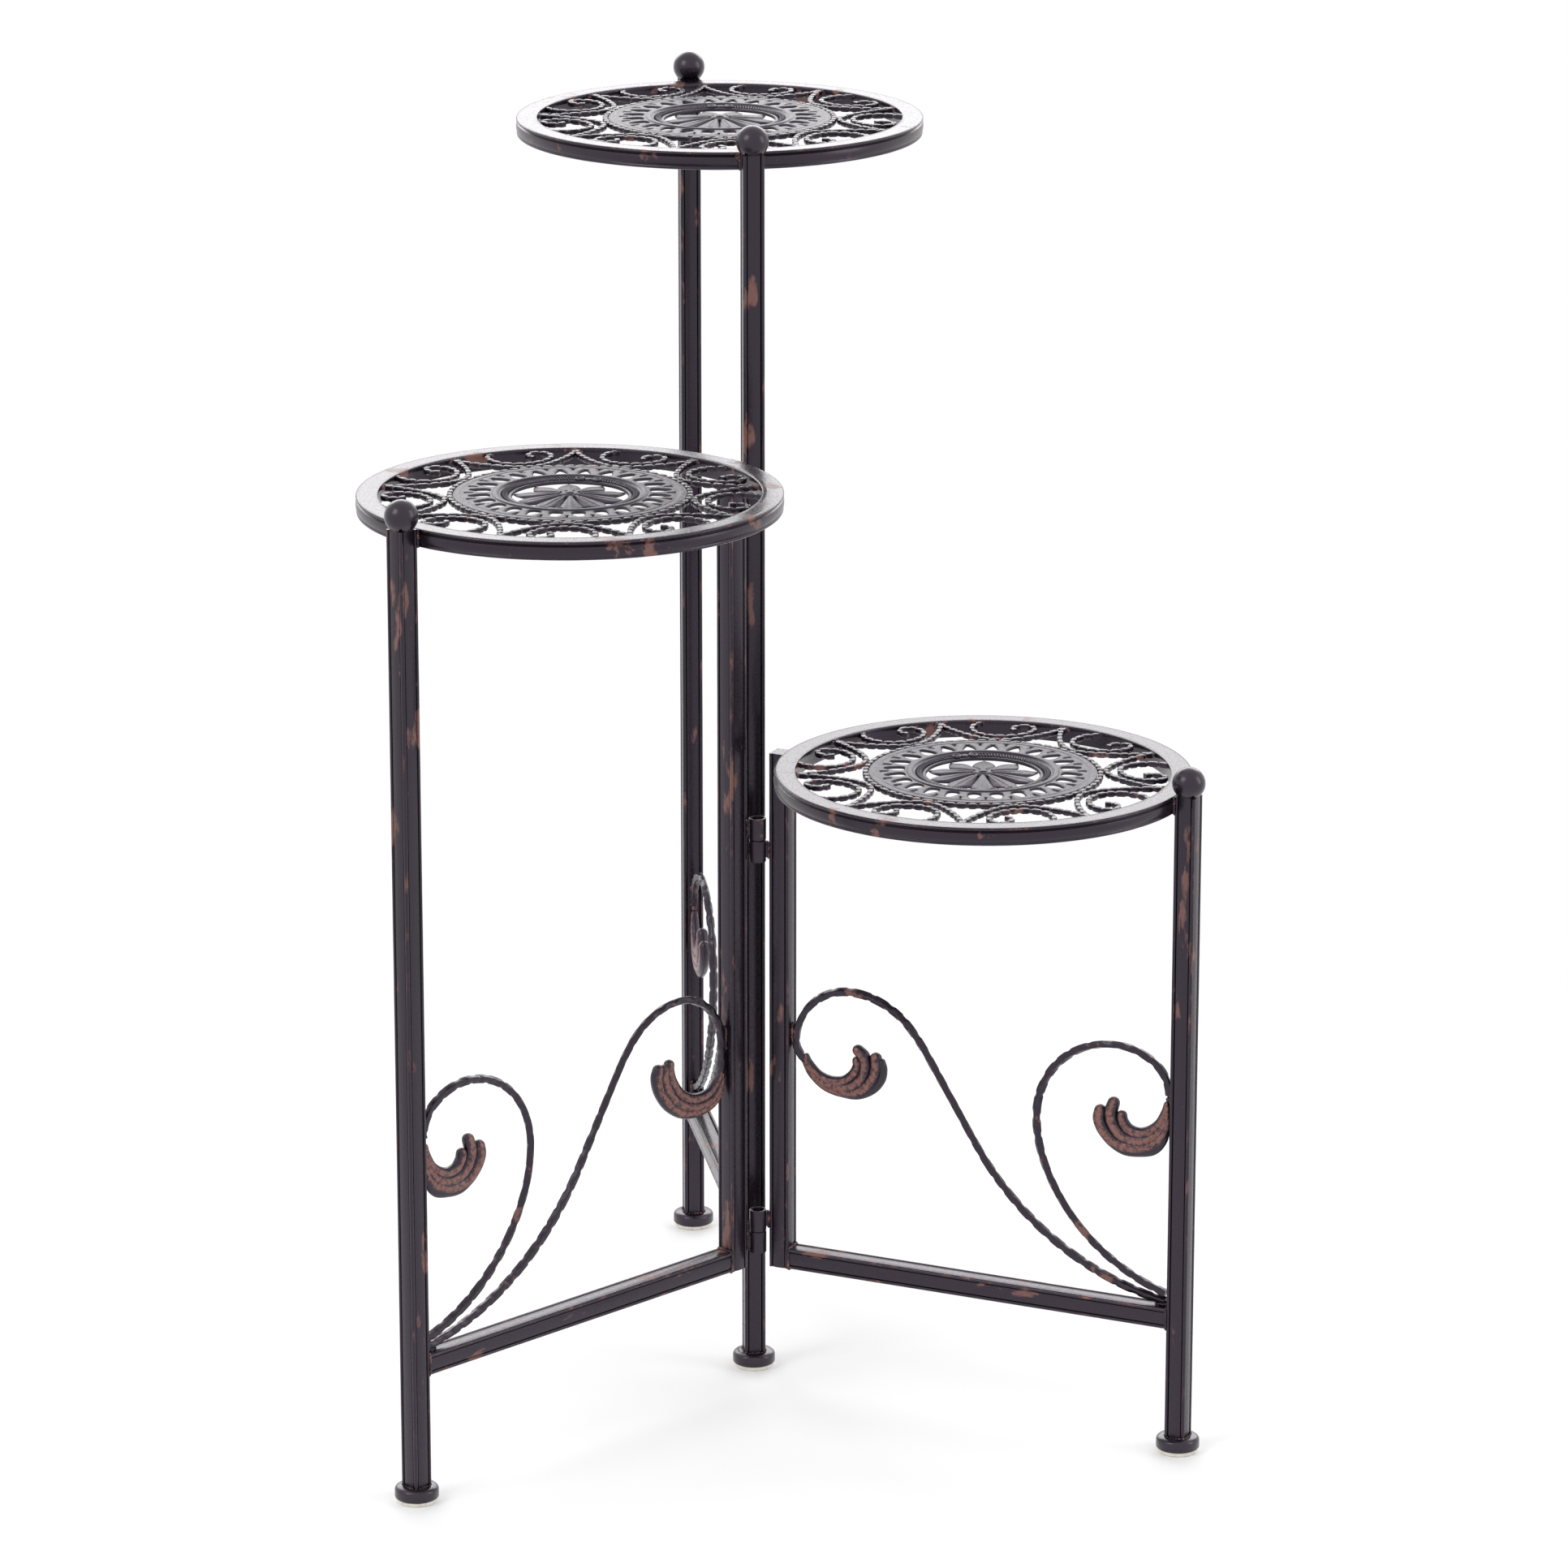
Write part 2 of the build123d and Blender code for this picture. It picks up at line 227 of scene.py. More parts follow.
FLOAT = "NodeSocketFloat"
COLOUR = "NodeSocketColor"
GEOMETRY = "NodeSocketGeometry"
INTEGER = "NodeSocketInt"
MATERIAL = "NodeSocketMaterial"


# Colours, and how the antique finish wears: noise shares, edges of the worn places and what they do

NEAR_BLACK = (0.006, 0.0035, 0.006, 1)
CAST_GREY = (0.014, 0.011, 0.016, 1)
RUST_BROWN = (0.155, 0.072, 0.052, 1)
COPPER = (0.27, 0.122, 0.09, 1)
LEAF_COPPER = (0.225, 0.1, 0.075, 1)
LILAC_GLOSS = (0.92, 0.74, 1.0, 1)
CREAM = (0.78, 0.74, 0.66, 1)
SCUFFED_CREAM = (0.60, 0.55, 0.48, 1)
WHITE = (1, 1, 1, 1)
rub_noise_share = 1.5
rub_threshold = 2.0
rub_edge = (-0.12, 0.3)
patch_share = 0.3
patch_edge = (0.64, 0.7)
pit_size = 0.0007
pit_edge = (0.58, 0.72)
pit_darkening = 0.8
grain_size = 0.0016
dull_by_grain = 0.25
dull_by_patch = 0.18
dull_by_pit = 0.3
metal_where_rubbed = 0.35
rubbed_drop = 0.4
bump_distance = 0.0004
metal_ior = 1.5
coat_roughness = 0.16


def antique_group():
    """Dark paint rubbed through on the high places, with brown patches and fine pits."""
    sockets = [
        ("Relief", FLOAT, 0.5), ("Rub", FLOAT, 0.4), ("Rub size", FLOAT, 0.004),
        ("Patches", FLOAT, 0.3), ("Patch size", FLOAT, 0.022), ("Pits", FLOAT, 0.3),
        ("Dullness", FLOAT, 0.3), ("Upright scale", FLOAT, 1.0),
        ("Paint", COLOUR, None), ("Patch colour", COLOUR, None), ("Rubbed colour", COLOUR, None),
    ]
    results = [("Colour", COLOUR), ("Roughness", FLOAT), ("Metal", FLOAT), ("Height", FLOAT)]
    tree, given, out = open_tree("antique finish", "ShaderNodeTree", sockets, results)
    place = put(tree, "ShaderNodeTexCoord").outputs["Object"]
    stretch = put(tree, "ShaderNodeCombineXYZ", {"X": 1.0, "Y": 1.0, "Z": given["Upright scale"]})
    both = {0: place, 1: stretch.outputs[0]}
    drawn = put(tree, "ShaderNodeVectorMath", both, operation="MULTIPLY").outputs[0]
    rub_noise = noise(tree, drawn, given["Rub size"], 6.0, 0.62)
    patch_noise = noise(tree, drawn, given["Patch size"], 5.0, 0.6)
    pit_noise = noise(tree, place, pit_size)
    grain = noise(tree, place, grain_size, 3.0)

    # Paint is gone where relief and noise together pass the threshold, which Rub lowers
    reach = reckon(tree, "ADD", given["Relief"], reckon(tree, "MULTIPLY", rub_noise, rub_noise_share))
    threshold = reckon(tree, "SUBTRACT", rub_threshold, given["Rub"])
    rubbed = ease(tree, reckon(tree, "SUBTRACT", reach, threshold), *rub_edge)
    spread = reckon(tree, "ADD", patch_noise, reckon(tree, "MULTIPLY", given["Patches"], patch_share))
    patched = ease(tree, spread, *patch_edge)
    pitted = reckon(tree, "MULTIPLY", ease(tree, pit_noise, *pit_edge), given["Pits"])

    paint = blend_colours(tree, patched, given["Paint"], given["Patch colour"])
    colour = blend_colours(tree, rubbed, paint, given["Rubbed colour"])
    unpitted = reckon(tree, "SUBTRACT", 1.0, reckon(tree, "MULTIPLY", pitted, pit_darkening))
    rough = reckon(tree, "MULTIPLY", reckon(tree, "SUBTRACT", grain, 0.5), dull_by_grain)
    rough = reckon(tree, "ADD", given["Dullness"], rough)
    rough = reckon(tree, "ADD", rough, reckon(tree, "MULTIPLY", patched, dull_by_patch))
    rough = reckon(tree, "ADD", rough, reckon(tree, "MULTIPLY", pitted, dull_by_pit))
    height = reckon(tree, "ADD", grain, reckon(tree, "MULTIPLY", pitted, -1.0))
    height = reckon(tree, "ADD", height, reckon(tree, "MULTIPLY", rubbed, -rubbed_drop))
    tree.links.new(scaled(tree, colour, unpitted), out["Colour"])
    tree.links.new(rough, out["Roughness"])
    tree.links.new(reckon(tree, "MULTIPLY", rubbed, metal_where_rubbed), out["Metal"])
    tree.links.new(height, out["Height"])
    return tree


antique = antique_group()


def new_material(name):
    """Material with its tree and its surface shader."""
    material = bpy.data.materials.new(name)
    material.use_nodes = True
    return material, material.node_tree, material.node_tree.nodes["Principled BSDF"]


def antiqued(name, coat=0.2, bump=0.2, paint=NEAR_BLACK, rubbed=COPPER, **values):
    """Material of one kind of piece, with its own amounts of the antique finish."""
    material, tree, surface = new_material(name)
    relief = put(tree, "ShaderNodeAttribute", attribute_name="relief").outputs["Fac"]
    finish = put(tree, "ShaderNodeGroup", {"Relief": relief}, node_tree=antique)
    values.update(Paint=paint, Patch_colour=RUST_BROWN, Rubbed_colour=rubbed)
    for label, value in values.items():
        finish.inputs[label.replace("_", " ")].default_value = value
    for result, socket in (("Colour", "Base Color"), ("Roughness", "Roughness"), ("Metal", "Metallic")):
        tree.links.new(finish.outputs[result], surface.inputs[socket])
    numbers = {"Strength": bump, "Distance": bump_distance, "Height": finish.outputs["Height"]}
    tree.links.new(put(tree, "ShaderNodeBump", numbers).outputs[0], surface.inputs["Normal"])
    surface.inputs["IOR"].default_value = metal_ior
    surface.inputs["Coat Weight"].default_value = coat
    surface.inputs["Coat Roughness"].default_value = coat_roughness
    surface.inputs["Specular Tint"].default_value = LILAC_GLOSS
    return material


def glide_plastic():
    """Cream plastic, browner and duller where it is scuffed."""
    material, tree, surface = new_material("cream glide plastic")
    place = put(tree, "ShaderNodeTexCoord").outputs["Object"]
    scuffs = ease(tree, noise(tree, place, 0.003, 4.0), 0.45, 0.7)
    tree.links.new(blend_colours(tree, scuffs, CREAM, SCUFFED_CREAM), surface.inputs["Base Color"])
    tree.links.new(ease(tree, scuffs, 0.0, 1.0, 0.45, 0.62), surface.inputs["Roughness"])
    return material


finishes = {
    "bar": antiqued("antiqued bar", Rub=0.06, Rub_size=0.006, Patches=0.1, Patch_size=0.014,
                    Upright_scale=0.3, Dullness=0.3),
    "stretcher": antiqued("antiqued stretcher", Rub=0.1, Rub_size=0.01, Patches=0.16, Patch_size=0.03,
                          Upright_scale=3.5, Dullness=0.3),
    "ring": antiqued("antiqued ring", Rub=0.12, Rub_size=0.01, Patches=0.14, Dullness=0.3),
    "rod": antiqued("hammered rod", Rub=0.1, Rub_size=0.005, Patches=0.08, Dullness=0.33),
    "wire": antiqued("hammered wire", Rub=0.06, Rub_size=0.005, Patches=0.1, Dullness=0.3),
    "medallion": antiqued("medallion casting", coat=0.05, Rub=-0.1, Rub_size=0.006, Patches=-0.1,
                          Dullness=0.42, paint=CAST_GREY),
    "leaf": antiqued("rubbed leaf casting", coat=0.35, Rub=0.47, Rub_size=0.0022, Patches=-0.1,
                     Pits=1.0, Dullness=0.38, bump=0.4, rubbed=LEAF_COPPER),
    "weld": antiqued("weld bead", Rub=0.62, Rub_size=0.005, Patches=0.1, Dullness=0.36),
    "ball": antiqued("ball", coat=0.35, Rub=-0.1, Rub_size=0.006, Patches=-0.05, Dullness=0.3),
    "hinge": antiqued("hinge steel", Rub=0.25, Rub_size=0.004, Patches=0.05, Dullness=0.36),
    "glide": glide_plastic(),
}


# Dents sit where a wave along the line is above its start, and their spacing sways
dent_start = 0.25
dent_sway = 0.9
dent_sway_size = 0.011
lump_squash = (0.75, 1.15)
lump_noise_size = 0.0016
lump_push = 0.004
whole_turn = 6.28


def carried(tree, label):
    """A number that the points of a line, section or cloud carry."""
    return put(tree, "GeometryNodeInputNamedAttribute", {"Name": label}, data_type="FLOAT").outputs[0]


def as_rotation(tree, angles):
    return put(tree, "FunctionNodeEulerToRotation", {"Euler": angles}).outputs[0]


def end_tree(tree, shape, finish, result):
    """Ends a geometry tree in one real mesh with its material."""
    real = put(tree, "GeometryNodeRealizeInstances", {"Geometry": shape}).outputs[0]
    coated = put(tree, "GeometryNodeSetMaterial", {"Geometry": real, "Material": finish}).outputs[0]
    tree.links.new(coated, result)


def sweep_tree():
    """Sweeps a section along a line, with pressed dents on its corners and a slightly uneven skin."""
    sockets = [
        ("Line", GEOMETRY, None), ("Section", "NodeSocketObject", None), ("Step", FLOAT, 0.004),
        ("Twist", FLOAT, 0.0), ("Dent depth", FLOAT, 0.0), ("Dent pitch", FLOAT, 0.006),
        ("Unevenness", FLOAT, 0.00005), ("Patch", FLOAT, 0.008), ("Seed", FLOAT, 0.0),
        ("Caps", "NodeSocketBool", True), ("Finish", MATERIAL, None),
    ]
    tree, given, out = open_tree("swept bar", "GeometryNodeTree", sockets, [("Bar", GEOMETRY)])
    even = put(tree, "GeometryNodeResampleCurve", {"Curve": given["Line"], "Length": given["Step"]},
               mode="LENGTH").outputs[0]
    run = put(tree, "GeometryNodeSplineParameter").outputs["Length"]
    marked = put(tree, "GeometryNodeStoreNamedAttribute", {"Geometry": even, "Name": "run", "Value": run},
                 data_type="FLOAT", domain="POINT").outputs[0]
    tilt = reckon(tree, "MULTIPLY", run, given["Twist"])
    tilted = put(tree, "GeometryNodeSetCurveTilt", {"Curve": marked, "Tilt": tilt}).outputs[0]
    section = put(tree, "GeometryNodeObjectInfo", {"Object": given["Section"]}).outputs["Geometry"]
    profile = put(tree, "GeometryNodeMeshToCurve", {"Mesh": section}).outputs[0]
    swept = put(tree, "GeometryNodeCurveToMesh", {
        "Curve": tilted, "Profile Curve": profile, "Fill Caps": given["Caps"]}).outputs[0]
    along, corner, phase = (carried(tree, label) for label in ("run", "corner", "phase"))
    place = put(tree, "GeometryNodeInputPosition").outputs[0]
    shift = put(tree, "ShaderNodeCombineXYZ", {"X": given["Seed"]}).outputs[0]
    moved = put(tree, "ShaderNodeVectorMath", {0: place, 1: shift}, operation="ADD").outputs[0]
    sway = noise(tree, moved, dent_sway_size, 1.0)
    turns = reckon(tree, "DIVIDE", along, given["Dent pitch"])
    turns = reckon(tree, "ADD", turns, reckon(tree, "MULTIPLY", sway, dent_sway))
    turns = reckon(tree, "ADD", turns, phase)
    wave = reckon(tree, "SINE", reckon(tree, "MULTIPLY", turns, 2 * math.pi))
    pulse = reckon(tree, "MULTIPLY", ease(tree, wave, dent_start, 1.0), corner)
    skin = noise(tree, moved, given["Patch"])
    depth = reckon(tree, "ADD", reckon(tree, "MULTIPLY", pulse, given["Dent depth"]),
                   reckon(tree, "MULTIPLY", skin, given["Unevenness"]))
    normal = put(tree, "GeometryNodeInputNormal").outputs[0]
    inward = scaled(tree, normal, reckon(tree, "MULTIPLY", depth, -1.0))
    dented = put(tree, "GeometryNodeSetPosition", {"Geometry": swept, "Offset": inward}).outputs[0]
    end_tree(tree, dented, given["Finish"], out["Bar"])
    return tree


def blob_tree():
    """Lumps of weld metal on points: each has its own turn, size and squash."""
    sockets = [("Points", GEOMETRY, None), ("Lump", FLOAT, 0.2), ("Seed", INTEGER, 1),
               ("Finish", MATERIAL, None)]
    tree, given, out = open_tree("weld lumps", "GeometryNodeTree", sockets, [("Welds", GEOMETRY)])

    def random_vector(least, most):
        numbers = {"Min": (least,) * 3, "Max": (most,) * 3, "Seed": given["Seed"]}
        return put(tree, "FunctionNodeRandomValue", numbers, data_type="FLOAT_VECTOR").outputs[0]

    lump = put(tree, "GeometryNodeMeshIcoSphere", {"Radius": 1.0, "Subdivisions": 2}).outputs[0]
    turn = random_vector(0.0, whole_turn)
    size = scaled(tree, random_vector(*lump_squash), carried(tree, "size"))
    placed = put(tree, "GeometryNodeInstanceOnPoints", {
        "Points": given["Points"], "Instance": lump, "Scale": size,
        "Rotation": as_rotation(tree, turn)}).outputs[0]
    real = put(tree, "GeometryNodeRealizeInstances", {"Geometry": placed}).outputs[0]
    place = put(tree, "GeometryNodeInputPosition").outputs[0]
    rough = reckon(tree, "SUBTRACT", noise(tree, place, lump_noise_size), 0.5)
    rough = reckon(tree, "MULTIPLY", rough, reckon(tree, "MULTIPLY", given["Lump"], lump_push))
    push = scaled(tree, put(tree, "GeometryNodeInputNormal").outputs[0], rough)
    lumpy = put(tree, "GeometryNodeSetPosition", {"Geometry": real, "Offset": push}).outputs[0]
    end_tree(tree, lumpy, given["Finish"], out["Welds"])
    return tree


def rib_tree():
    """Slanted ribs set side by side round the well, like the lay of a rope."""
    sockets = [
        ("Base", GEOMETRY, None), ("Count", INTEGER, rib_count), ("Radius", FLOAT, 0.035),
        ("Drop", FLOAT, 0.001), ("Lean", FLOAT, 0.3), ("Slant", FLOAT, 0.5),
        ("Length", FLOAT, 0.003), ("Thickness", FLOAT, 0.0007), ("Finish", MATERIAL, None),
    ]
    tree, given, out = open_tree("rope ribs", "GeometryNodeTree", sockets, [("Ribs", GEOMETRY)])
    posts = put(tree, "GeometryNodeMeshCircle", {
        "Vertices": given["Count"], "Radius": given["Radius"]}).outputs[0]
    rib = put(tree, "GeometryNodeMeshUVSphere", {"Segments": 8, "Rings": 5, "Radius": 1.0}).outputs[0]
    index = put(tree, "GeometryNodeInputIndex").outputs[0]
    angle = reckon(tree, "MULTIPLY", reckon(tree, "DIVIDE", index, given["Count"]), 2 * math.pi)
    lean = put(tree, "ShaderNodeCombineXYZ", {"Y": given["Lean"], "Z": angle}).outputs[0]
    slant = put(tree, "ShaderNodeCombineXYZ", {"Z": given["Slant"]}).outputs[0]
    turns = {"Rotation": as_rotation(tree, lean), "Rotate By": as_rotation(tree, slant)}
    laid = put(tree, "FunctionNodeRotateRotation", turns, rotation_space="LOCAL").outputs[0]
    size = put(tree, "ShaderNodeCombineXYZ", {
        "X": given["Length"], "Y": given["Thickness"], "Z": given["Thickness"]}).outputs[0]
    placed = put(tree, "GeometryNodeInstanceOnPoints", {
        "Points": posts, "Instance": rib, "Rotation": laid, "Scale": size}).outputs[0]
    drop = put(tree, "ShaderNodeCombineXYZ", {"Z": reckon(tree, "MULTIPLY", given["Drop"], -1.0)})
    lowered = put(tree, "GeometryNodeTransform", {
        "Geometry": placed, "Translation": drop.outputs[0]}).outputs[0]
    both = put(tree, "GeometryNodeJoinGeometry", {0: lowered})
    tree.links.new(given["Base"], both.inputs[0])
    end_tree(tree, both.outputs[0], given["Finish"], out["Ribs"])
    return tree


swept_bar = sweep_tree()
weld_lumps = blob_tree()
rope_ribs = rib_tree()


def show(name, data):
    piece = bpy.data.objects.new(name, data)
    bpy.context.scene.collection.objects.link(piece)
    return piece


def mark(mesh, label, values):
    """Gives each point of a mesh a number of the given name."""
    mesh.attributes.new(label, "FLOAT", "POINT").data.foreach_set("value", values)


def soften(mesh, crease):
    """Smooth shading, apart from edges sharper than the crease."""
    mesh.shade_smooth()
    mesh.set_sharp_from_angle(angle=math.radians(crease))


def grow(source, tree, values):
    """The plain mesh that a geometry tree makes of a source object."""
    modifier = source.modifiers.new("maker", "NODES")
    modifier.node_group = tree
    sockets = {s.name: s.identifier for s in tree.interface.items_tree if s.in_out == "INPUT"}
    for label, value in values.items():
        modifier[sockets[label]] = value
    graph = bpy.context.evaluated_depsgraph_get()
    made = bpy.data.meshes.new_from_object(source.evaluated_get(graph))
    source.modifiers.remove(modifier)
    bpy.data.objects.remove(source)
    return made


def line_object(lines, closed, twist_mode):
    """Poly lines in millimetres as one curve object in metres."""
    curve = bpy.data.curves.new("line", "CURVE")
    curve.dimensions = "3D"
    curve.twist_mode = twist_mode
    for points in lines:
        spline = curve.splines.new("POLY")
        spline.points.add(len(points) - 1)
        for target, point in zip(spline.points, points):
            target.co = (*(Vector(point) * MM), 1)
        spline.use_cyclic_u = closed
    return show("line", curve)


def section_object(points):
    """Closed section in millimetres: x, y, relief, corner and phase of each point."""
    mesh = bpy.data.meshes.new("section")
    count = len(points)
    edges = [(k, (k + 1) % count) for k in range(count)]
    mesh.from_pydata([(p[0] * MM, p[1] * MM, 0) for p in points], edges, [])
    for column, label in ((2, "relief"), (3, "corner"), (4, "phase")):
        mark(mesh, label, [p[column] for p in points])
    return show("section", mesh)


def sweep(lines, section, finish, closed=False, twist_mode="MINIMUM", crease=40, **values):
    """Mesh of a section swept along lines, in metres in the frame's own plane."""
    profile = section_object(section)
    settings = {label.replace("_", " "): value for label, value in values.items()}
    settings.update(Section=profile, Finish=finishes[finish], Caps=not closed)
    made = grow(line_object(lines, closed, twist_mode), swept_bar, settings)
    bpy.data.objects.remove(profile)
    soften(made, crease)
    return made


class Shape:
    """Closed shells in millimetres, gathered into one mesh."""

    def __init__(self):
        self.points = []
        self.faces = []
        self.relief = []

    def add(self, points, faces, relief, place=Matrix.Identity(4)):
        start = len(self.points)
        self.points += [place @ Vector(point) for point in points]
        self.faces += [[start + k for k in face] for face in faces]
        self.relief += relief if isinstance(relief, list) else [relief] * len(points)

    def mesh(self, finish, crease=40):
        made = bpy.data.meshes.new("shape")
        made.from_pydata([point * MM for point in self.points], [], self.faces)
        mark(made, "relief", self.relief)
        made.materials.append(finishes[finish])
        soften(made, crease)
        return made


def set_piece(name, mesh, place, body, slot, *nodes):
    """Puts a finished mesh in its place under its frame's body and hides the parts that it stands for."""
    mesh.transform(place)
    mesh.name = name
    piece = show(name, mesh)
    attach(piece, body)
    if nodes:
        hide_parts(*nodes)
    return piece


# Sections

def quarter_turns(side):
    """A side's points (x, y, relief, corner, phase) repeated round a square section."""
    points = []
    for turn in range(4):
        c, s = ((1, 0), (0, 1), (-1, 0), (0, -1))[turn]
        points += [(x * c - y * s, x * s + y * c, r, k, p) for x, y, r, k, p in side]
    return points


def reeded_section():
    """Square bar with a crowned face on each side, a groove beside it and a round bead on each corner."""
    bead = 1.2
    bead_centre = bar_half - bead
    groove = (bar_half - 1.15, 3.78)
    face_half = 3.45
    side = []
    for angle in (-128, -100, -72, -45, -18, 10, 38):
        a = math.radians(angle)
        level = 1.0 if -110 < angle < 20 else 0.55
        x = bead_centre + bead * math.cos(a)
        side.append((x, bead * math.sin(a) - bead_centre, level, 0.0, 0.0))
    side.append((groove[0], -groove[1], 0.0, 0.0, 0.0))
    for y in (-face_half, -3.1, -1.8, 0.0, 1.8, 3.1, face_half):
        crown = 0.15 + 0.32 * (y / face_half) ** 2
        side.append((bar_half - crown, y, 0.42 if abs(y) > 3 else 0.28, 0.0, 0.0))
    side.append((*groove, 0.0, 0.0, 0.0))
    return quarter_turns(side)


def square_section(width, height, corner_radius, turned_phase):
    """Square wire with rounded corners that take the dents."""
    half_x = width / 2
    half_y = height / 2
    points = []
    for turn, (sx, sy) in enumerate(((1, -1), (1, 1), (-1, 1), (-1, -1))):
        start = turn * 90 - 90
        phase = turned_phase * (turn % 2)
        for angle in (0, 30, 60, 90):
            a = math.radians(start + angle)
            x = sx * (half_x - corner_radius) + corner_radius * math.cos(a)
            y = sy * (half_y - corner_radius) + corner_radius * math.sin(a)
            points.append((x, y, 0.9, 1.0, phase))
        next_sx, next_sy = ((1, 1), (-1, 1), (-1, -1), (1, -1))[turn]
        middle_x = half_x * (sx + next_sx) / 2
        middle_y = half_y * (sy + next_sy) / 2
        points.append((middle_x, middle_y, 0.3, 0.25, phase))
    return points


def ring_section():
    """Rolled tray bar: flat top with a lip, a groove and a convex band."""
    # (outwards from the middle, above the rim, relief)
    outline = [
        (-5.2, -10, .3), (-5.8, -9.7, .6), (-6, -9.1, .5), (-6, -7.0, .2), (-6, -3.2, .2),
        (-6, -1.0, .45), (-5.75, -0.3, .95), (-5.1, 0, .8), (-3.0, 0, .3), (0, 0, .3), (3.4, 0, .3),
        (4.7, -0.02, .5), (5.4, -0.2, .95), (5.82, -0.6, 1), (5.9, -1.05, .9), (5.72, -1.45, .5),
        (5.1, -1.8, 0), (4.85, -2.1, 0), (5.1, -2.45, 0), (5.66, -2.8, .35), (5.88, -3.6, .35),
        (6, -4.9, .4), (5.96, -6.1, .35), (5.78, -7.2, .3), (5.45, -7.9, 0), (5.3, -8.15, 0),
        (5.42, -8.45, 0), (5.62, -8.9, .8), (5.5, -9.5, 1), (5.0, -9.9, .7), (4.4, -10, .3),
    ]
    return [(x, -(z + ring_height / 2), r, 0.0, 0.0) for x, z, r in outline]


# Lines

def heading_vector(angle):
    return Vector((math.cos(math.radians(angle)), math.sin(math.radians(angle))))


def bend(point, heading, radius, turn, step=2.5):
    """Points along an arc that turns by the given degrees from its heading."""
    side = math.copysign(90, turn)
    centre = point + heading_vector(heading + side) * radius
    count = max(2, math.ceil(abs(turn) / step))
    turns = [turn * k / count for k in range(1, count + 1)]
    return [centre - heading_vector(heading + side + t) * radius for t in turns]


def last_bend(point, heading, end):
    """The arc that leaves a point in its heading and ends at another point."""
    chord = end - point
    lean = (math.degrees(math.atan2(chord.y, chord.x)) - heading + 180) % 360 - 180
    radius = chord.length / (2 * math.sin(math.radians(abs(lean))))
    return bend(point, heading, radius, 2 * lean, 1.0)


def rod_line(start, turn_sign, arcs, straight, end):
    """Scroll rod from its weld on the leg, over the top and down into the frame's corner."""
    points = [Vector(start)]
    heading = 90.0
    for radius, turn in arcs:
        points += bend(points[-1], heading, radius, turn * turn_sign)
        heading += turn * turn_sign
    if straight:
        points.append(points[-1] + heading_vector(heading) * straight)
    points += last_bend(points[-1], heading, Vector(end))
    return [(point.x, 0, point.y) for point in points]


def smooth_line(points, per_span=8):
    """Catmull-Rom line through the given points, of any dimension."""
    points = [Vector(p) for p in points]
    ends = [points[0] * 2 - points[1]] + points + [points[-1] * 2 - points[-2]]
    result = []
    for k in range(1, len(ends) - 2):
        a, b, c, d = ends[k - 1:k + 3]
        for i in range(per_span):
            t = i / per_span
            result.append(0.5 * ((2 * b) + (c - a) * t + (2 * a - 5 * b + 4 * c - d) * t * t
                                 + (3 * b - a - 3 * c + d) * t ** 3))
    result.append(points[-1])
    return result


def arch_line():
    """One arch of a tray: its crown lies on the band and its feet meet the ring."""
    crown = band_outer_radius + band_width / 2
    depth = bore_radius - arch_end_gap - crown
    steps = 40
    points = []
    for k in range(-steps, steps + 1):
        share = math.sin(math.pi * k / (2 * steps))
        radius = crown + depth * (1 - (1 - share ** 2) ** arch_fullness)
        points.append(heading_vector(90 - share * arch_spread / cell_count) * radius)
    return points


# Hooked scroll as (along the band, out from the band)
hook_points = (
    (-12.5, 36.6), (-16.2, 28.0), (-14.4, 17.6), (-8.0, 10.9), (1.0, 9.2), (10.0, 12.0),
    (16.4, 18.2), (18.6, 26.0), (15.4, 32.2), (9.6, 31.8), (6.4, 26.4), (8.2, 21.8),
)


def hook_line():
    return smooth_line([(x, band_outer_radius + y) for x, y in hook_points])


def round_the_tray(points, u):
    """The flat line of one cell repeated in all the cells of a tray."""
    places = [u.cell(k) for k in range(cell_count)]
    return [[place @ Vector((p.x, p.y, wire_level)) for p in points] for place in places]


def circle_line(u, radius, z, count=240):
    """Closed line round a tray's axis."""
    middle = u.tray()
    return [middle @ Vector((*(heading_vector(k * 360 / count) * radius), z)) for k in range(count)]


# Turned shapes and tubes

tube_end_relief = 0.4


def wrap(low, high, count):
    """Faces between two rounds of points, which start at the given indices."""
    steps = [(k, (k + 1) % count) for k in range(count)]
    return [[low + k, low + n, high + n, high + k] for k, n in steps]


def lathe(profile, segments):
    """Closed shell turned round the z axis from (radius, z, relief) points, listed from the bottom up."""
    points, faces, relief, rounds = [], [], [], []
    angles = [2 * math.pi * k / segments for k in range(segments)]
    for radius, z, value in profile:
        spokes = angles if radius > 0 else angles[:1]
        rounds.append((len(points), len(spokes)))
        points += [(radius * math.cos(a), radius * math.sin(a), z) for a in spokes]
        relief += [value] * len(spokes)
    steps = [(k, (k + 1) % segments) for k in range(segments)]
    for (low, below), (high, above) in zip(rounds, rounds[1:]):
        if below == above:
            faces += wrap(low, high, segments)
        elif below == 1:
            faces += [[low, high + n, high + k] for k, n in steps]
        else:
            faces += [[low + k, low + n, high] for k, n in steps]
    return points, faces, relief


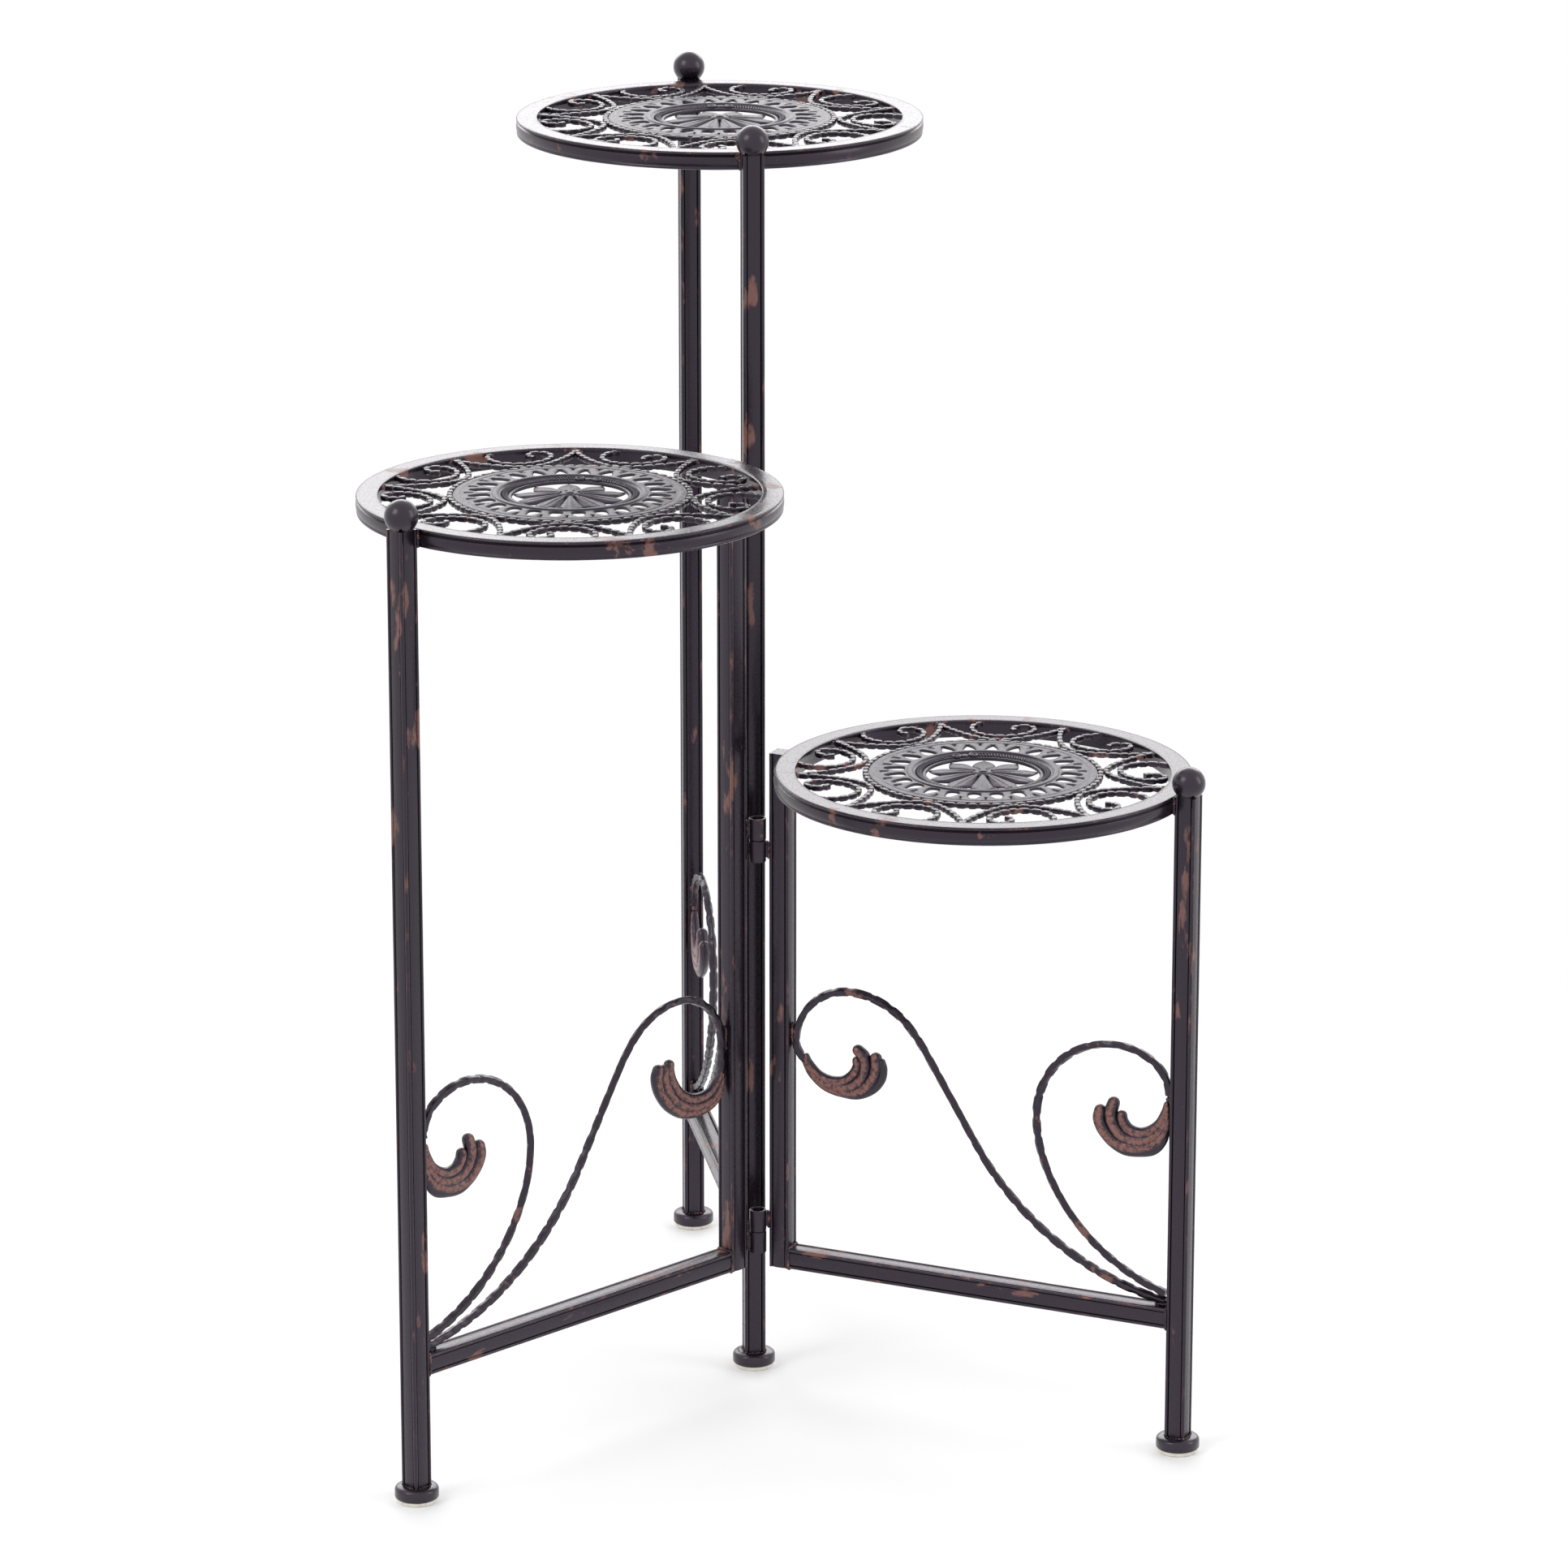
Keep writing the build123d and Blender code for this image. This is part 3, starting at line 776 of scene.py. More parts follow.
def tube(stations, up, ring=16):
    """Rounded-end tube: stations are (centre, half width across up, half height along up)."""
    rows = [(Vector(centre), width, height) for centre, width, height in stations]
    first = (rows[1][0] - rows[0][0]).normalized()
    last = (rows[-1][0] - rows[-2][0]).normalized()
    up = Vector(up)

    def dome(end, outwards, angles):
        centre, width, height = end
        turns = [math.radians(a) for a in angles]
        return [(centre + outwards * width * math.sin(a), width * math.cos(a), height * math.cos(a))
                for a in turns]

    start = rows[0][0] - first * rows[0][1]
    end = rows[-1][0] + last * rows[-1][1]
    rows = dome(rows[0], -first, (75, 50, 25)) + rows + dome(rows[-1], last, (25, 50, 75))
    points, faces, relief = [start], [], [tube_end_relief]
    for index, (centre, width, height) in enumerate(rows):
        before = rows[max(index - 1, 0)][0]
        after = rows[min(index + 1, len(rows) - 1)][0]
        side = (after - before).normalized().cross(up).normalized()
        for k in range(ring):
            a = 2 * math.pi * k / ring
            points.append(centre + side * width * math.cos(a) + up * height * math.sin(a))
            relief.append(abs(math.sin(a)) ** 1.5)
    points.append(end)
    relief.append(tube_end_relief)
    steps = [(k, (k + 1) % ring) for k in range(ring)]
    for index in range(len(rows) - 1):
        low = 1 + index * ring
        faces += [[low + k, low + ring + k, low + ring + n, low + n] for k, n in steps]
    low = 1 + (len(rows) - 1) * ring
    for k, n in steps:
        faces.append([0, 1 + k, 1 + n])
        faces.append([len(points) - 1, low + n, low + k])
    return points, faces, relief


# Bars of a frame

REEDED = reeded_section()
BAND = square_section(band_width, wire_height, 0.7, 0.0)
WIRE = square_section(wire_width, wire_height, 0.7, 0.0)
ROD = square_section(rod_width, rod_width, 0.8, 0.5)

# Arcs of the scroll rods as (radius, turn)
small_rod_arcs = ((22.0, 55.0), (38.0, 35.0), (47.0, 90.0), (75.0, 22.0), (105.0, 20.0))
tall_rod_arcs = ((33.5, 90.0), (48.0, 50.0), (120.0, 8.0))
tall_rod_straight = 55.0

# What runs on below the tall rod's weld, as (from the leg's axis, height)
rod_tails = {
    "tall": ((9.0, 187), (8.6, 193), (8.3, 199)),
    "middle": ((9.0, 187), (8.6, 193), (8.3, 199)),
    "low": ((27.5, 181.9), (22.6, 185.6), (17.4, 190.6), (13, 195.6), (10.2, 199.6), (8.7, 202.6)),
}
rod_side = bar_half + weld_gap + rod_width / 2
stretcher_top = stretcher_centre + bar_half


def swept_piece(u, name, node, lines, section, finish, **values):
    """Sweeps one piece of a frame and puts it in the place of its node."""
    mesh = sweep(lines, section, finish, **values)
    set_piece(f"{u.name}_{name}", mesh, u.place, u.name, "painted_bar", f"{u.name}_{node}")


def frame_bars(u):
    """Legs, stretcher and scroll rods of a frame."""
    seed = 0.37 * FRAMES.index(u.name)
    inner_bottom = foot_top if u.name == "tall" else u.upright_bottom
    far_end = u.span - bar_half - weld_gap
    ends = {
        "outer_leg": [(0, 0, foot_top), (0, 0, u.leg_top)],
        "inner_leg": [(u.span, 0, inner_bottom), (u.span, 0, u.upright_top)],
        "stretcher": [(bar_half + weld_gap, 0, stretcher_centre), (far_end, 0, stretcher_centre)],
    }
    for index, (node, line) in enumerate(ends.items()):
        finish = "stretcher" if node == "stretcher" else "bar"
        swept_piece(u, node + "_bar", node, [line], REEDED, finish, Step=0.006, Unevenness=0.00012,
                    Patch=0.02, Seed=seed + index)
    foot = stretcher_top + weld_gap
    small = rod_line((rod_side, weld_height), -1, small_rod_arcs, 0, (rod_side, foot + rod_width * 1.6))
    tall = rod_line((u.span - rod_side, weld_height), 1, tall_rod_arcs, tall_rod_straight,
                    (rod_side, foot + rod_width / 2))
    tail = smooth_line([*rod_tails[u.name], (rod_side, weld_height)])
    tall = [(u.span - p.x, 0, p.y) for p in tail[:-1]] + tall
    for node, line in (("small_scroll", small), ("tall_scroll", tall)):
        swept_piece(u, node + "_rod", node, [line], ROD, "rod", Step=0.0009, Dent_depth=0.0005,
                    Dent_pitch=0.0115, Twist=6.0, Unevenness=0.00022, Patch=0.006, Seed=seed)


def frame_tray(u):
    """Ring, arches, hooked scrolls and notched band of a tray."""
    seed = 0.53 * FRAMES.index(u.name)
    ring = circle_line(u, ring_centre_radius, -ring_height / 2)
    swept_piece(u, "tray_ring_bar", "tray_ring", [ring], ring_section(), "ring", closed=True,
                twist_mode="Z_UP", Step=0.0028, Unevenness=0.00012, Patch=0.016, Seed=seed)
    for node, points in (("tray_arches", arch_line()), ("tray_hooks", hook_line())):
        swept_piece(u, node + "_wire", node, round_the_tray(points, u), WIRE, "wire", twist_mode="Z_UP",
                    Step=0.0008, Dent_depth=0.00062, Dent_pitch=0.0062, Unevenness=0.00025, Patch=0.004,
                    Seed=seed)
    band = circle_line(u, band_outer_radius - band_width / 2, wire_level)
    swept_piece(u, "notched_band", "tray_band", [band], BAND, "wire", closed=True, twist_mode="Z_UP",
                Step=0.0009, Dent_depth=0.0008, Dent_pitch=0.00628, Unevenness=0.0002, Patch=0.004,
                Seed=seed)


# Medallion

def slot_width_at(radius):
    """Half width of a lancet: round at its inner end, pointed at its outer end."""
    share = (radius - slot_inner_radius) / (slot_outer_radius - slot_inner_radius)
    if share <= 0 or share >= 1:
        return 0.0
    if share < slot_round_end:
        return slot_half * math.sqrt(1 - (1 - share / slot_round_end) ** 2)
    return slot_half * (1 - ((share - slot_round_end) / (1 - slot_round_end)) ** 1.9)


def plate_height(radius, across, to_slot, half):
    """Top of the casting, with across the distance from the line between two lancets."""
    z = plate_top
    bead = abs(radius - bead_radius) / bead_half
    if bead < 1:
        z = max(z, plate_top + bead_rise * math.sqrt(1 - bead ** 2))
    slope_start = bead_radius - bead_half
    if radius < slope_start:
        fall = (slope_start - radius) / (slope_start - well_radius)
        z = plate_top - (well_depth + plate_top) * math.sin(fall * math.pi / 2) ** 0.8
        lip = abs(radius - well_radius - lip_half) / lip_half
        if lip < 1:
            z += lip_rise * math.sqrt(1 - lip ** 2)
    if half > 0:
        z -= slot_edge_drop * max(0.0, 1 - to_slot / slot_edge_width) ** 2
    chip = (radius - chip_start) / (chip_end - chip_start)
    if 0 < chip < 1:
        z -= chip_depth * max(0.0, 1 - across / (2.0 * chip + 0.01)) * min(1.0, (1 - chip) * 8)
    edge = medallion_radius - radius
    if edge < rim_round:
        z -= rim_drop * (1 - edge / rim_round) ** 2
    groove = abs(radius - groove_radius) / groove_half
    if groove < 1:
        z -= groove_depth * (1 - groove ** 2)
    return z


def plate_floor(radius):
    """Underside of the casting: thin where it is pierced, thicker under the well."""
    share = min(1.0, max(0.0, (radius - 37.0) / 4.5))
    return plate_bottom + (plate_thin_bottom - plate_bottom) * share * share * (3 - 2 * share)


def plate_shell():
    """Pierced plate as one closed shell, its grid lines following the lancets' edges."""
    radii = [
        well_radius, 31.3, 31.8, 32.3, 32.8, 33.5, 34.4, 35.4, 36.4, 37.4, 38.0, 38.3, 38.6, 39.1, 39.6,
        40.0, 40.4, 40.9, 41.4, 41.7, 42.1, 42.6, 42.66, 42.8, 43.05, 43.4, 43.9, 44.6, 45.5, 46.5, 47.5,
        48.5, 49.5, 50.4, 51.2, 51.8, 52.4, 53.0, 53.5, 53.9, 54.2, 54.4, 54.5, 55.0, 55.5, 56.0, 56.4,
        56.8, 57.4, 57.7, 58.0, 58.3, 58.6, 59.6, 60.8, 61.4, 61.8, 62.0, medallion_radius,
    ]
    shares = (0.0, 0.12, 0.26, 0.44, 0.64, 0.82, 1.0)
    columns = 12
    sector = math.pi / slot_count
    rim = len(radii) - 1
    points, faces, relief = [], [], []
    lookup = {}

    def add(key, radius, angle, z, level):
        """Index of a point, which is made when it is first asked for."""
        if key not in lookup:
            lookup[key] = len(points)
            points.append((radius * math.cos(angle), radius * math.sin(angle), z))
            relief.append(level)
        return lookup[key]

    def point(row, lancet, place, top):
        """Places 0 to 6 run from a lancet's left edge to the line between two, 7 to 11 on to the next."""
        radius = radii[row]
        side = 1 if place <= 6 else -1
        share = shares[place] if place <= 6 else shares[columns - place]
        owner = lancet if place <= 6 else lancet + 1
        half = slot_width_at(radius)
        gap = half / radius
        angle = gap + share * (sector - gap)
        across = (sector - angle) * radius
        z = plate_height(radius, across, (angle - gap) * radius, half) if top else plate_floor(radius)
        level = 0.5 + 0.4 * (z - plate_top) / bead_rise if top else 0.1
        heading = 2 * sector * (owner % slot_count) + side * angle
        return add((row, lancet, place, top), radius, heading, z, level)

    def right_edge(row, lancet, top):
        """Point on the clockwise edge of a lancet, which is its middle line where it is closed."""
        radius = radii[row]
        half = slot_width_at(radius)
        lancet %= slot_count
        if half == 0:
            return point(row, lancet, 0, top)
        across = (sector - half / radius) * radius
        z = plate_height(radius, across, 0.0, half) if top else plate_floor(radius)
        angle = 2 * sector * lancet - half / radius
        return add((row, lancet, "edge", top), radius, angle, z, 0.5 if top else 0.1)

    def corner(row, lancet, place, top):
        if place == columns:
            return right_edge(row, lancet + 1, top)
        return point(row, lancet, place, top)

    for lancet in range(slot_count):
        for row in range(rim):
            for place in range(columns):
                for top in (True, False):
                    quad = [corner(row, lancet, place, top), corner(row + 1, lancet, place, top),
                            corner(row + 1, lancet, place + 1, top), corner(row, lancet, place + 1, top)]
                    faces.append(quad if top else quad[::-1])
            if slot_width_at(radii[row]) > 0 or slot_width_at(radii[row + 1]) > 0:
                for edge, flip in ((lambda r, t: corner(r, lancet, 0, t), False),
                                   (lambda r, t: right_edge(r, lancet, t), True)):
                    wall = [edge(row, True), edge(row, False), edge(row + 1, False), edge(row + 1, True)]
                    wall = list(dict.fromkeys(wall))
                    if len(wall) > 2:
                        faces.append(wall[::-1] if flip else wall)
        for place in range(columns):
            faces.append([corner(rim, lancet, place, True), corner(rim, lancet, place, False),
                          corner(rim, lancet, place + 1, False), corner(rim, lancet, place + 1, True)])
            faces.append([corner(0, lancet, place, True), corner(0, lancet, place + 1, True),
                          corner(0, lancet, place + 1, False), corner(0, lancet, place, False)])
    return points, faces, relief


def petal_reach(phi):
    """How far a petal goes, with phi 0 on its midrib and 1 or -1 between two petals."""
    share = abs(phi)
    half = math.pi / petal_count
    sides = petal_tip * math.sin(half * share) + petal_valley * math.sin(half * (1 - share))
    straight = petal_tip * petal_valley * math.sin(half) / sides
    return straight * (1 + petal_bulge * math.sin(math.pi * share))


def petal_height(phi, radius, q):
    """Height and relief of a petal's top: q runs from 0 at the boss to 1 at the edge."""
    dome = -well_depth - 0.9 + 2.4 * (1 - min(1.0, radius / 27)) ** 1.2
    crown = 0.55 * (1 - phi ** 2) * math.sin(math.pi * min(1.0, radius / 30))
    fold = -1.3 * abs(phi) ** 5 * min(1.0, radius / 10)
    veins = 0.14 * math.cos(phi * math.pi * 4) * min(1.0, q * 3) * (1 - q)
    midrib = 0.2 * max(0.0, 1 - abs(phi) * 7 * (0.3 + q)) * min(1.0, q * 3)
    lip = -0.5 * max(0.0, (q - 0.9) / 0.1) ** 2
    return dome + crown + fold + veins + midrib + lip, 0.45 + 0.25 * crown + 0.4 * fold


def flower_shell():
    """Ten pointed petals, each crowned and veined, falling from the boss to the edge of the well."""
    per_petal = 20
    columns = petal_count * per_petal
    rows = 16
    points, faces, relief = [], [], []
    for top in (True, False):
        for row in range(rows + 1):
            q = row / rows
            for column in range(columns):
                a = 2 * math.pi * column / columns
                phi = (column % per_petal) / per_petal * 2
                phi = phi - 2 if phi > 1 else phi
                radius = petal_start + (petal_reach(phi) - petal_start) * q
                z, level = petal_height(phi, radius, q) if top else (-well_depth - 2.0, 0.1)
                points.append((radius * math.cos(a), radius * math.sin(a), z))
                relief.append(level)
    layer = (rows + 1) * columns
    last = rows * columns
    steps = [(k, (k + 1) % columns) for k in range(columns)]
    for row in range(0, last, columns):
        for k, n in steps:
            quad = [row + k, row + columns + k, row + columns + n, row + n]
            faces.append(quad)
            faces.append([layer + k for k in reversed(quad)])
    for k, n in steps:
        faces.append([last + k, layer + last + k, layer + last + n, last + n])
        faces.append([k, n, layer + n, layer + k])
    return points, faces, relief


def volute(turn, side):
    """Scroll that leaves the rope moulding and curls in beside a plaque."""
    centre_offset = 8.5
    path = []
    for k in range(19):
        offset = 44 - 35.5 * k / 18
        path.append((heading_vector(side * offset) * (36.6 + 0.5 * k / 18), 0.35 + 0.55 * k / 18))
    outward = heading_vector(side * centre_offset)
    centre = outward * moulding_radius
    towards = Vector((outward.y, -outward.x)) * side
    for k in range(1, 31):
        a = math.radians(k * 19)
        radius = 2.2 * (1 - k / 30) + 0.55
        at = centre + outward * radius * math.cos(a) + towards * radius * math.sin(a)
        path.append((at, 0.9 - 0.25 * k / 30))
    stations = [((p.x, p.y, -1.25 - (38.3 - min(p.length, 38.3)) * 0.06), w, w * 1.05) for p, w in path]
    points, faces, relief = tube(stations, (0, 0, 1), 10)
    return [turned(turn) @ Vector(p) for p in points], faces, relief


# Turned details of the medallion as (radius, height, relief)
boss_profile = (
    (0.0, -3.4, 0.3), (4.6, -3.4, 0.3), (4.9, -1.6, 0.4), (4.6, -0.95, 0.7), (3.8, -0.6, 0.9),
    (2.9, -0.75, 0.4), (2.5, -0.95, 0.1), (2.2, -0.55, 0.6), (1.5, -0.2, 0.9), (0.7, -0.05, 1.0),
    (0.0, 0.0, 1.0),
)
pearl_profile = (
    (0.0, -1.2, 0.2), (0.9, -0.8, 0.2), (1.2, 0.0, 0.4), (0.9, 0.75, 0.8), (0.5, 1.0, 0.9),
    (0.0, 1.1, 0.9),
)
plaque_profile = (
    (0.0, -1.0, 0.2), (2.3, -1.0, 0.2), (2.5, 0.4, 0.4), (2.2, 0.95, 0.8), (1.5, 1.15, 0.7),
    (0.0, 1.2, 0.6),
)
pearl_circle = 6.1
pearl_level = -1.75
plaque_place = (35.2, 0, -2.1)


def medallion(u):
    """Casting of a tray: pierced plate, flower with its boss and pearls, volutes, plaques and ribs."""
    casting = Shape()
    casting.add(*plate_shell(), place=turned(180 / slot_count))
    casting.add(*flower_shell(), place=turned(180 / petal_count))
    casting.add(*lathe(boss_profile, 24))
    for k in range(petal_count):
        pearl = heading_vector(k * 360 / petal_count) * pearl_circle
        casting.add(*lathe(pearl_profile, 8), place=Matrix.Translation((pearl.x, pearl.y, pearl_level)))
    for turn in (0, 180):
        for side in (-1, 1):
            casting.add(*volute(turn, side))
        casting.add(*lathe(plaque_profile, 12), place=turned(turn) @ Matrix.Translation(plaque_place))
    base = show("casting", casting.mesh("medallion", 50))
    mesh = grow(base, rope_ribs, {
        "Count": rib_count, "Radius": moulding_radius * MM, "Drop": 1.75 * MM, "Lean": -0.2,
        "Slant": 0.45, "Length": 2.5 * MM, "Thickness": 0.72 * MM, "Finish": finishes["medallion"]})
    mesh.transform(Matrix.Translation((u.span / 2 * MM, 0, u.rim * MM)) @ turned(u.medallion_turn))
    set_piece(f"{u.name}_medallion_casting", mesh, u.place, u.name, "casting", f"{u.name}_tray_medallion")


# Leaves: lobes as (distance from the leg's axis, height, half width)

small_leaf = (
    ((9.6, 200, 1.6), (10.6, 195, 2.1), (14, 188, 2.4), (19.4, 183.3, 2.6), (25.6, 181.2, 2.7),
     (31.6, 182.6, 2.6), (35, 186.5, 2.4), (35.8, 190, 2.2)),
    ((9, 198, 1.5), (9.6, 190.8, 2.3), (13.5, 183.5, 2.8), (20.5, 178.2, 3.0), (29, 176.6, 3.1),
     (36.5, 179.2, 3.1), (41, 184.8, 3.1), (42.2, 191, 3.0), (40.8, 196.5, 2.7)),
    ((8.6, 194, 1.5), (9.4, 186.6, 2.3), (13.6, 179, 2.8), (21, 174, 3.0), (30, 172.2, 3.1),
     (39.5, 174, 3.1), (46, 179.8, 3.1), (49, 186, 3.0), (48.6, 191, 2.7)),
    ((8.4, 188, 1.5), (11.5, 179, 2.3), (17, 172.8, 2.6), (25, 170.4, 2.4), (34, 170, 2.2),
     (42, 173.5, 1.8), (47.5, 178.5, 1.4)),
)
high_leaf = (
    ((14.6, 198, 1.3), (16.6, 193.6, 1.9), (22, 188, 2.2), (29.4, 185.4, 2.4), (37.6, 186.3, 2.5),
     (43.4, 190.8, 2.5), (46, 196, 2.4), (45.6, 199.2, 2.1)),
    ((14.2, 196, 1.3), (17, 190.5, 1.9), (23, 184.8, 2.3), (31.6, 182.2, 2.6), (40.6, 183.2, 2.8),
     (47.8, 188.4, 2.9), (50.8, 196, 2.9), (49.8, 202, 2.8), (46.2, 205.4, 2.5)),
    ((13.8, 193.5, 1.3), (18, 187.4, 1.8), (26.4, 181.6, 2.3), (36.8, 179.6, 2.6), (47, 181.6, 2.9),
     (54.2, 188.2, 3.0), (57.3, 196, 2.9), (57, 202, 2.7)),
    ((25.5, 181.2, 1.3), (35.6, 178.6, 1.8), (46, 178.8, 2.0), (54.8, 183.2, 2.1), (60.2, 189.6, 2.0),
     (61.6, 196, 1.8), (60.6, 200.5, 1.5)),
)
low_leaf = (
    ((9.4, 192, 1.4), (11.2, 187, 2.0), (17.4, 180.6, 2.5), (26, 178.6, 2.7), (34.6, 180.2, 2.9),
     (42.2, 185.4, 2.9), (47.6, 193.6, 2.8), (49.6, 200.4, 2.7), (49.2, 203.4, 2.4)),
    ((8.8, 189, 1.4), (9.8, 183, 2.1), (15.6, 176.4, 2.6), (25, 174.2, 2.8), (36, 176.2, 3.0),
     (45.6, 182, 3.0), (52, 191.4, 2.9), (54, 198.6, 2.7), (53.4, 201.4, 2.4)),
    ((8.4, 186, 1.3), (9.6, 180, 1.9), (15.6, 173.6, 2.3), (26.4, 171.2, 2.6), (39, 173, 2.8),
     (49.8, 180, 2.9), (56.6, 189.4, 2.9), (58.8, 197.4, 2.8), (57.6, 202.2, 2.5)),
    ((10, 178, 1.2), (17, 172.2, 1.6), (27, 170.2, 1.7), (38, 171.2, 1.6), (46, 175.4, 1.3)),
)
tall_leaves = {"tall": low_leaf, "middle": low_leaf, "low": high_leaf}
lobe_heights = (3.1, 3.45, 3.3, 2.5)
lobe_root_height = 0.62
lobe_widening = (1.08, 0.24)
back_lobe_relief = 0.35


def frame_leaves(u):
    """Both leaf curls of a frame, each of four rounded lobes side by side."""
    leaves = Shape()
    root_width, growth = lobe_widening
    for lobes, origin, sign in ((small_leaf, 0.0, 1), (tall_leaves[u.name], u.span, -1)):
        for lobe, height in zip(lobes, lobe_heights):
            line = smooth_line(lobe, 7)
            count = len(line) - 1
            stations = []
            for k, p in enumerate(line):
                grown = lobe_root_height + (1 - lobe_root_height) * min(1.0, k / count * 2.2)
                width = p.z * (root_width + growth * k / count)
                stations.append(((origin + sign * p.x, 0, p.y), width, height * grown))
            points, faces, relief = tube(stations, (0, 1, 0), 22)
            if lobe is lobes[-1]:
                relief = [value * back_lobe_relief for value in relief]
            leaves.add(points, faces, relief)
    mesh = leaves.mesh("leaf", 60)
    set_piece(f"{u.name}_leaf_curls", mesh, u.place, u.name, "casting", f"{u.name}_leaves")


# Balls, feet and glides

# Foot cap and glide as (inset from its radius, height, relief)
cap_profile = (
    (foot_radius, 0.0, 0.1), (1.1, 0.0, 0.3), (0.5, 0.15, 0.7), (0.1, 0.6, 0.9), (0.0, 1.2, 0.5),
    (0.0, 4.6, 0.5), (0.15, 5.3, 0.8), (0.55, 5.95, 0.95), (1.1, 6.4, 0.8), (1.9, 6.75, 0.5),
    (2.8, 6.9, 0.3), (4.4, foot_height, 0.1), (foot_radius, foot_height, 0.1),
)
glide_profile = (
    (glide_radius, 0.0, 0.5), (1.1, 0.0, 0.5), (0.4, 0.25, 0.5), (0.05, 0.8, 0.5), (0.0, 1.4, 0.5),
    (0.0, 2.3, 0.5), (glide_radius, glide_height, 0.5),
)


def inset_lathe(profile, radius, segments=48):
    return lathe([(radius - inset, z, level) for inset, z, level in profile], segments)


def ball_profile(steps=26):
    """Ball as (radius, height, relief), a little shaded underneath."""
    angles = [math.radians(-90 + 180 * k / steps) for k in range(1, steps)]
    middle = [(ball_radius * math.cos(a), ball_radius * math.sin(a), 0.35) for a in angles]
    return [(0.0, -ball_radius, 0.2), *middle, (0.0, ball_radius, 0.35)]


def balls_and_feet(u):
    """Ball, foot cap and glide of each standing leg."""
    shape, glides = Shape(), Shape()
    for x in u.standing:
        shape.add(*lathe(ball_profile(), 48), place=Matrix.Translation((x, 0, u.rim + ball_above_rim)))
        shape.add(*inset_lathe(cap_profile, foot_radius), place=Matrix.Translation((x, 0, glide_height)))
        glides.add(*inset_lathe(glide_profile, glide_radius), place=Matrix.Translation((x, 0, 0)))
    set_piece(f"{u.name}_balls_and_foot_caps", shape.mesh("ball", 50), u.place, u.name, "painted_bar",
              f"{u.name}_balls_and_feet")
    mesh = glides.mesh("glide", 40)
    set_piece(f"{u.name}_foot_glides", mesh, u.place, u.name, "glide", f"{u.name}_glides")


# Hinges

def knuckle_profile():
    """Open knuckle as (radius, z) points round its wall, from the outside over the top to the bore."""
    outer, length = knuckle_radius, knuckle_length
    return [
        (outer - 0.5, 0.0), (outer - 0.15, 0.12), (outer, 0.5), (outer, length - 0.5),
        (outer - 0.15, length - 0.12), (outer - 0.5, length), (bore + 0.35, length),
        (bore + 0.08, length - 0.1), (bore, length - 0.4), (bore, 0.3), (bore + 0.3, 0.0),
    ]


def closed_lathe(profile, segments, relief):
    """Ring-shaped shell: the profile's last point joins its first."""
    angles = [2 * math.pi * k / segments for k in range(segments)]
    points = [(radius * math.cos(a), radius * math.sin(a), z) for radius, z in profile for a in angles]
    faces = []
    for row in range(len(profile)):
        faces += wrap(row * segments, (row + 1) % len(profile) * segments, segments)
    return points, faces, [relief] * len(points)


def arm_shell(length, thickness, height, bevel=0.6):
    """Short arm with rounded edges, from the knuckle at x = 0 to the leg's corner."""
    y, z = thickness / 2, height / 2
    outline = [(-y + bevel, -z), (y - bevel, -z), (y, -z + bevel), (y, z - bevel),
               (y - bevel, z), (-y + bevel, z), (-y, z - bevel), (-y, -z + bevel)]
    start = knuckle_radius - 0.9
    stations = [start, start + 1, (start + length) / 2, length - 0.4, length]
    points = [(x, *corner) for x in stations for corner in outline]
    count = len(outline)
    faces = []
    for row in range(len(stations) - 1):
        faces += wrap(row * count, (row + 1) * count, count)
    faces.append(list(range(count))[::-1])
    faces.append([len(points) - count + k for k in range(count)])
    return points, faces, [0.6] * len(points)


def knuckle_pair(u, label, hinge, side, takes_upper):
    """Both knuckles of one leaf of a hinge, with the arms that hold them to the leg's corner."""
    shape = Shape()
    reach, offset = hinge["reach"], hinge["offset"]
    span = math.hypot(reach, offset)
    to_corner = (bar_half + 5.4) * span / (reach + offset)
    turn = math.atan2(-side * offset, -reach)
    for bottom, upper in zip(hinge["bottoms"], takes_upper):
        z = bottom + (knuckle_length + knuckle_gap) * upper
        at = Matrix.Translation((u.span + reach, side * offset, z))
        shape.add(*closed_lathe(knuckle_profile(), 36, 0.6), place=at)
        arm = at @ Matrix.Translation((0, 0, knuckle_length / 2)) @ Matrix.Rotation(turn, 4, "Z")
        shape.add(*arm_shell(span - to_corner - 0.2, arm_thickness, arm_height), place=arm)
    mesh = shape.mesh("hinge", 40)
    set_piece(f"{u.name}_{label}_knuckle_tubes", mesh, u.place, u.name, "hinge",
              f"{u.name}_{label}_knuckles")


def hinge_pins(node, body, hinge):
    """Both pins of a hinge, each a little shorter than its two knuckles."""
    low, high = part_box(node)
    axis = (low + high) / 2
    length = 2 * knuckle_length + knuckle_gap - pin_recess
    profile = [
        (0.0, 0.0, 0.4), (2.7, 0.0, 0.4), (3.05, 0.12, 0.8), (pin_radius, 0.5, 0.5),
        (pin_radius, length - 0.7, 0.5), (2.95, length - 0.2, 0.9), (2.3, length - 0.02, 0.6),
        (0.0, length, 0.5),
    ]
    shape = Shape()
    for bottom in hinge["bottoms"]:
        shape.add(*lathe(profile, 36), place=Matrix.Translation((axis.x / MM, axis.y / MM, bottom)))
    set_piece(node + "_turned", shape.mesh("hinge", 40), Matrix.Identity(4), body, "hinge", node)


# Welds

def bead_row(spots, start, end, size, spacing=1.1):
    """Overlapping lumps from start to end, as (place, size)."""
    start, end = Vector(start), Vector(end)
    count = max(1, round((end - start).length / (size * spacing)))
    spots += [(start.lerp(end, k / count), size) for k in range(count + 1)]


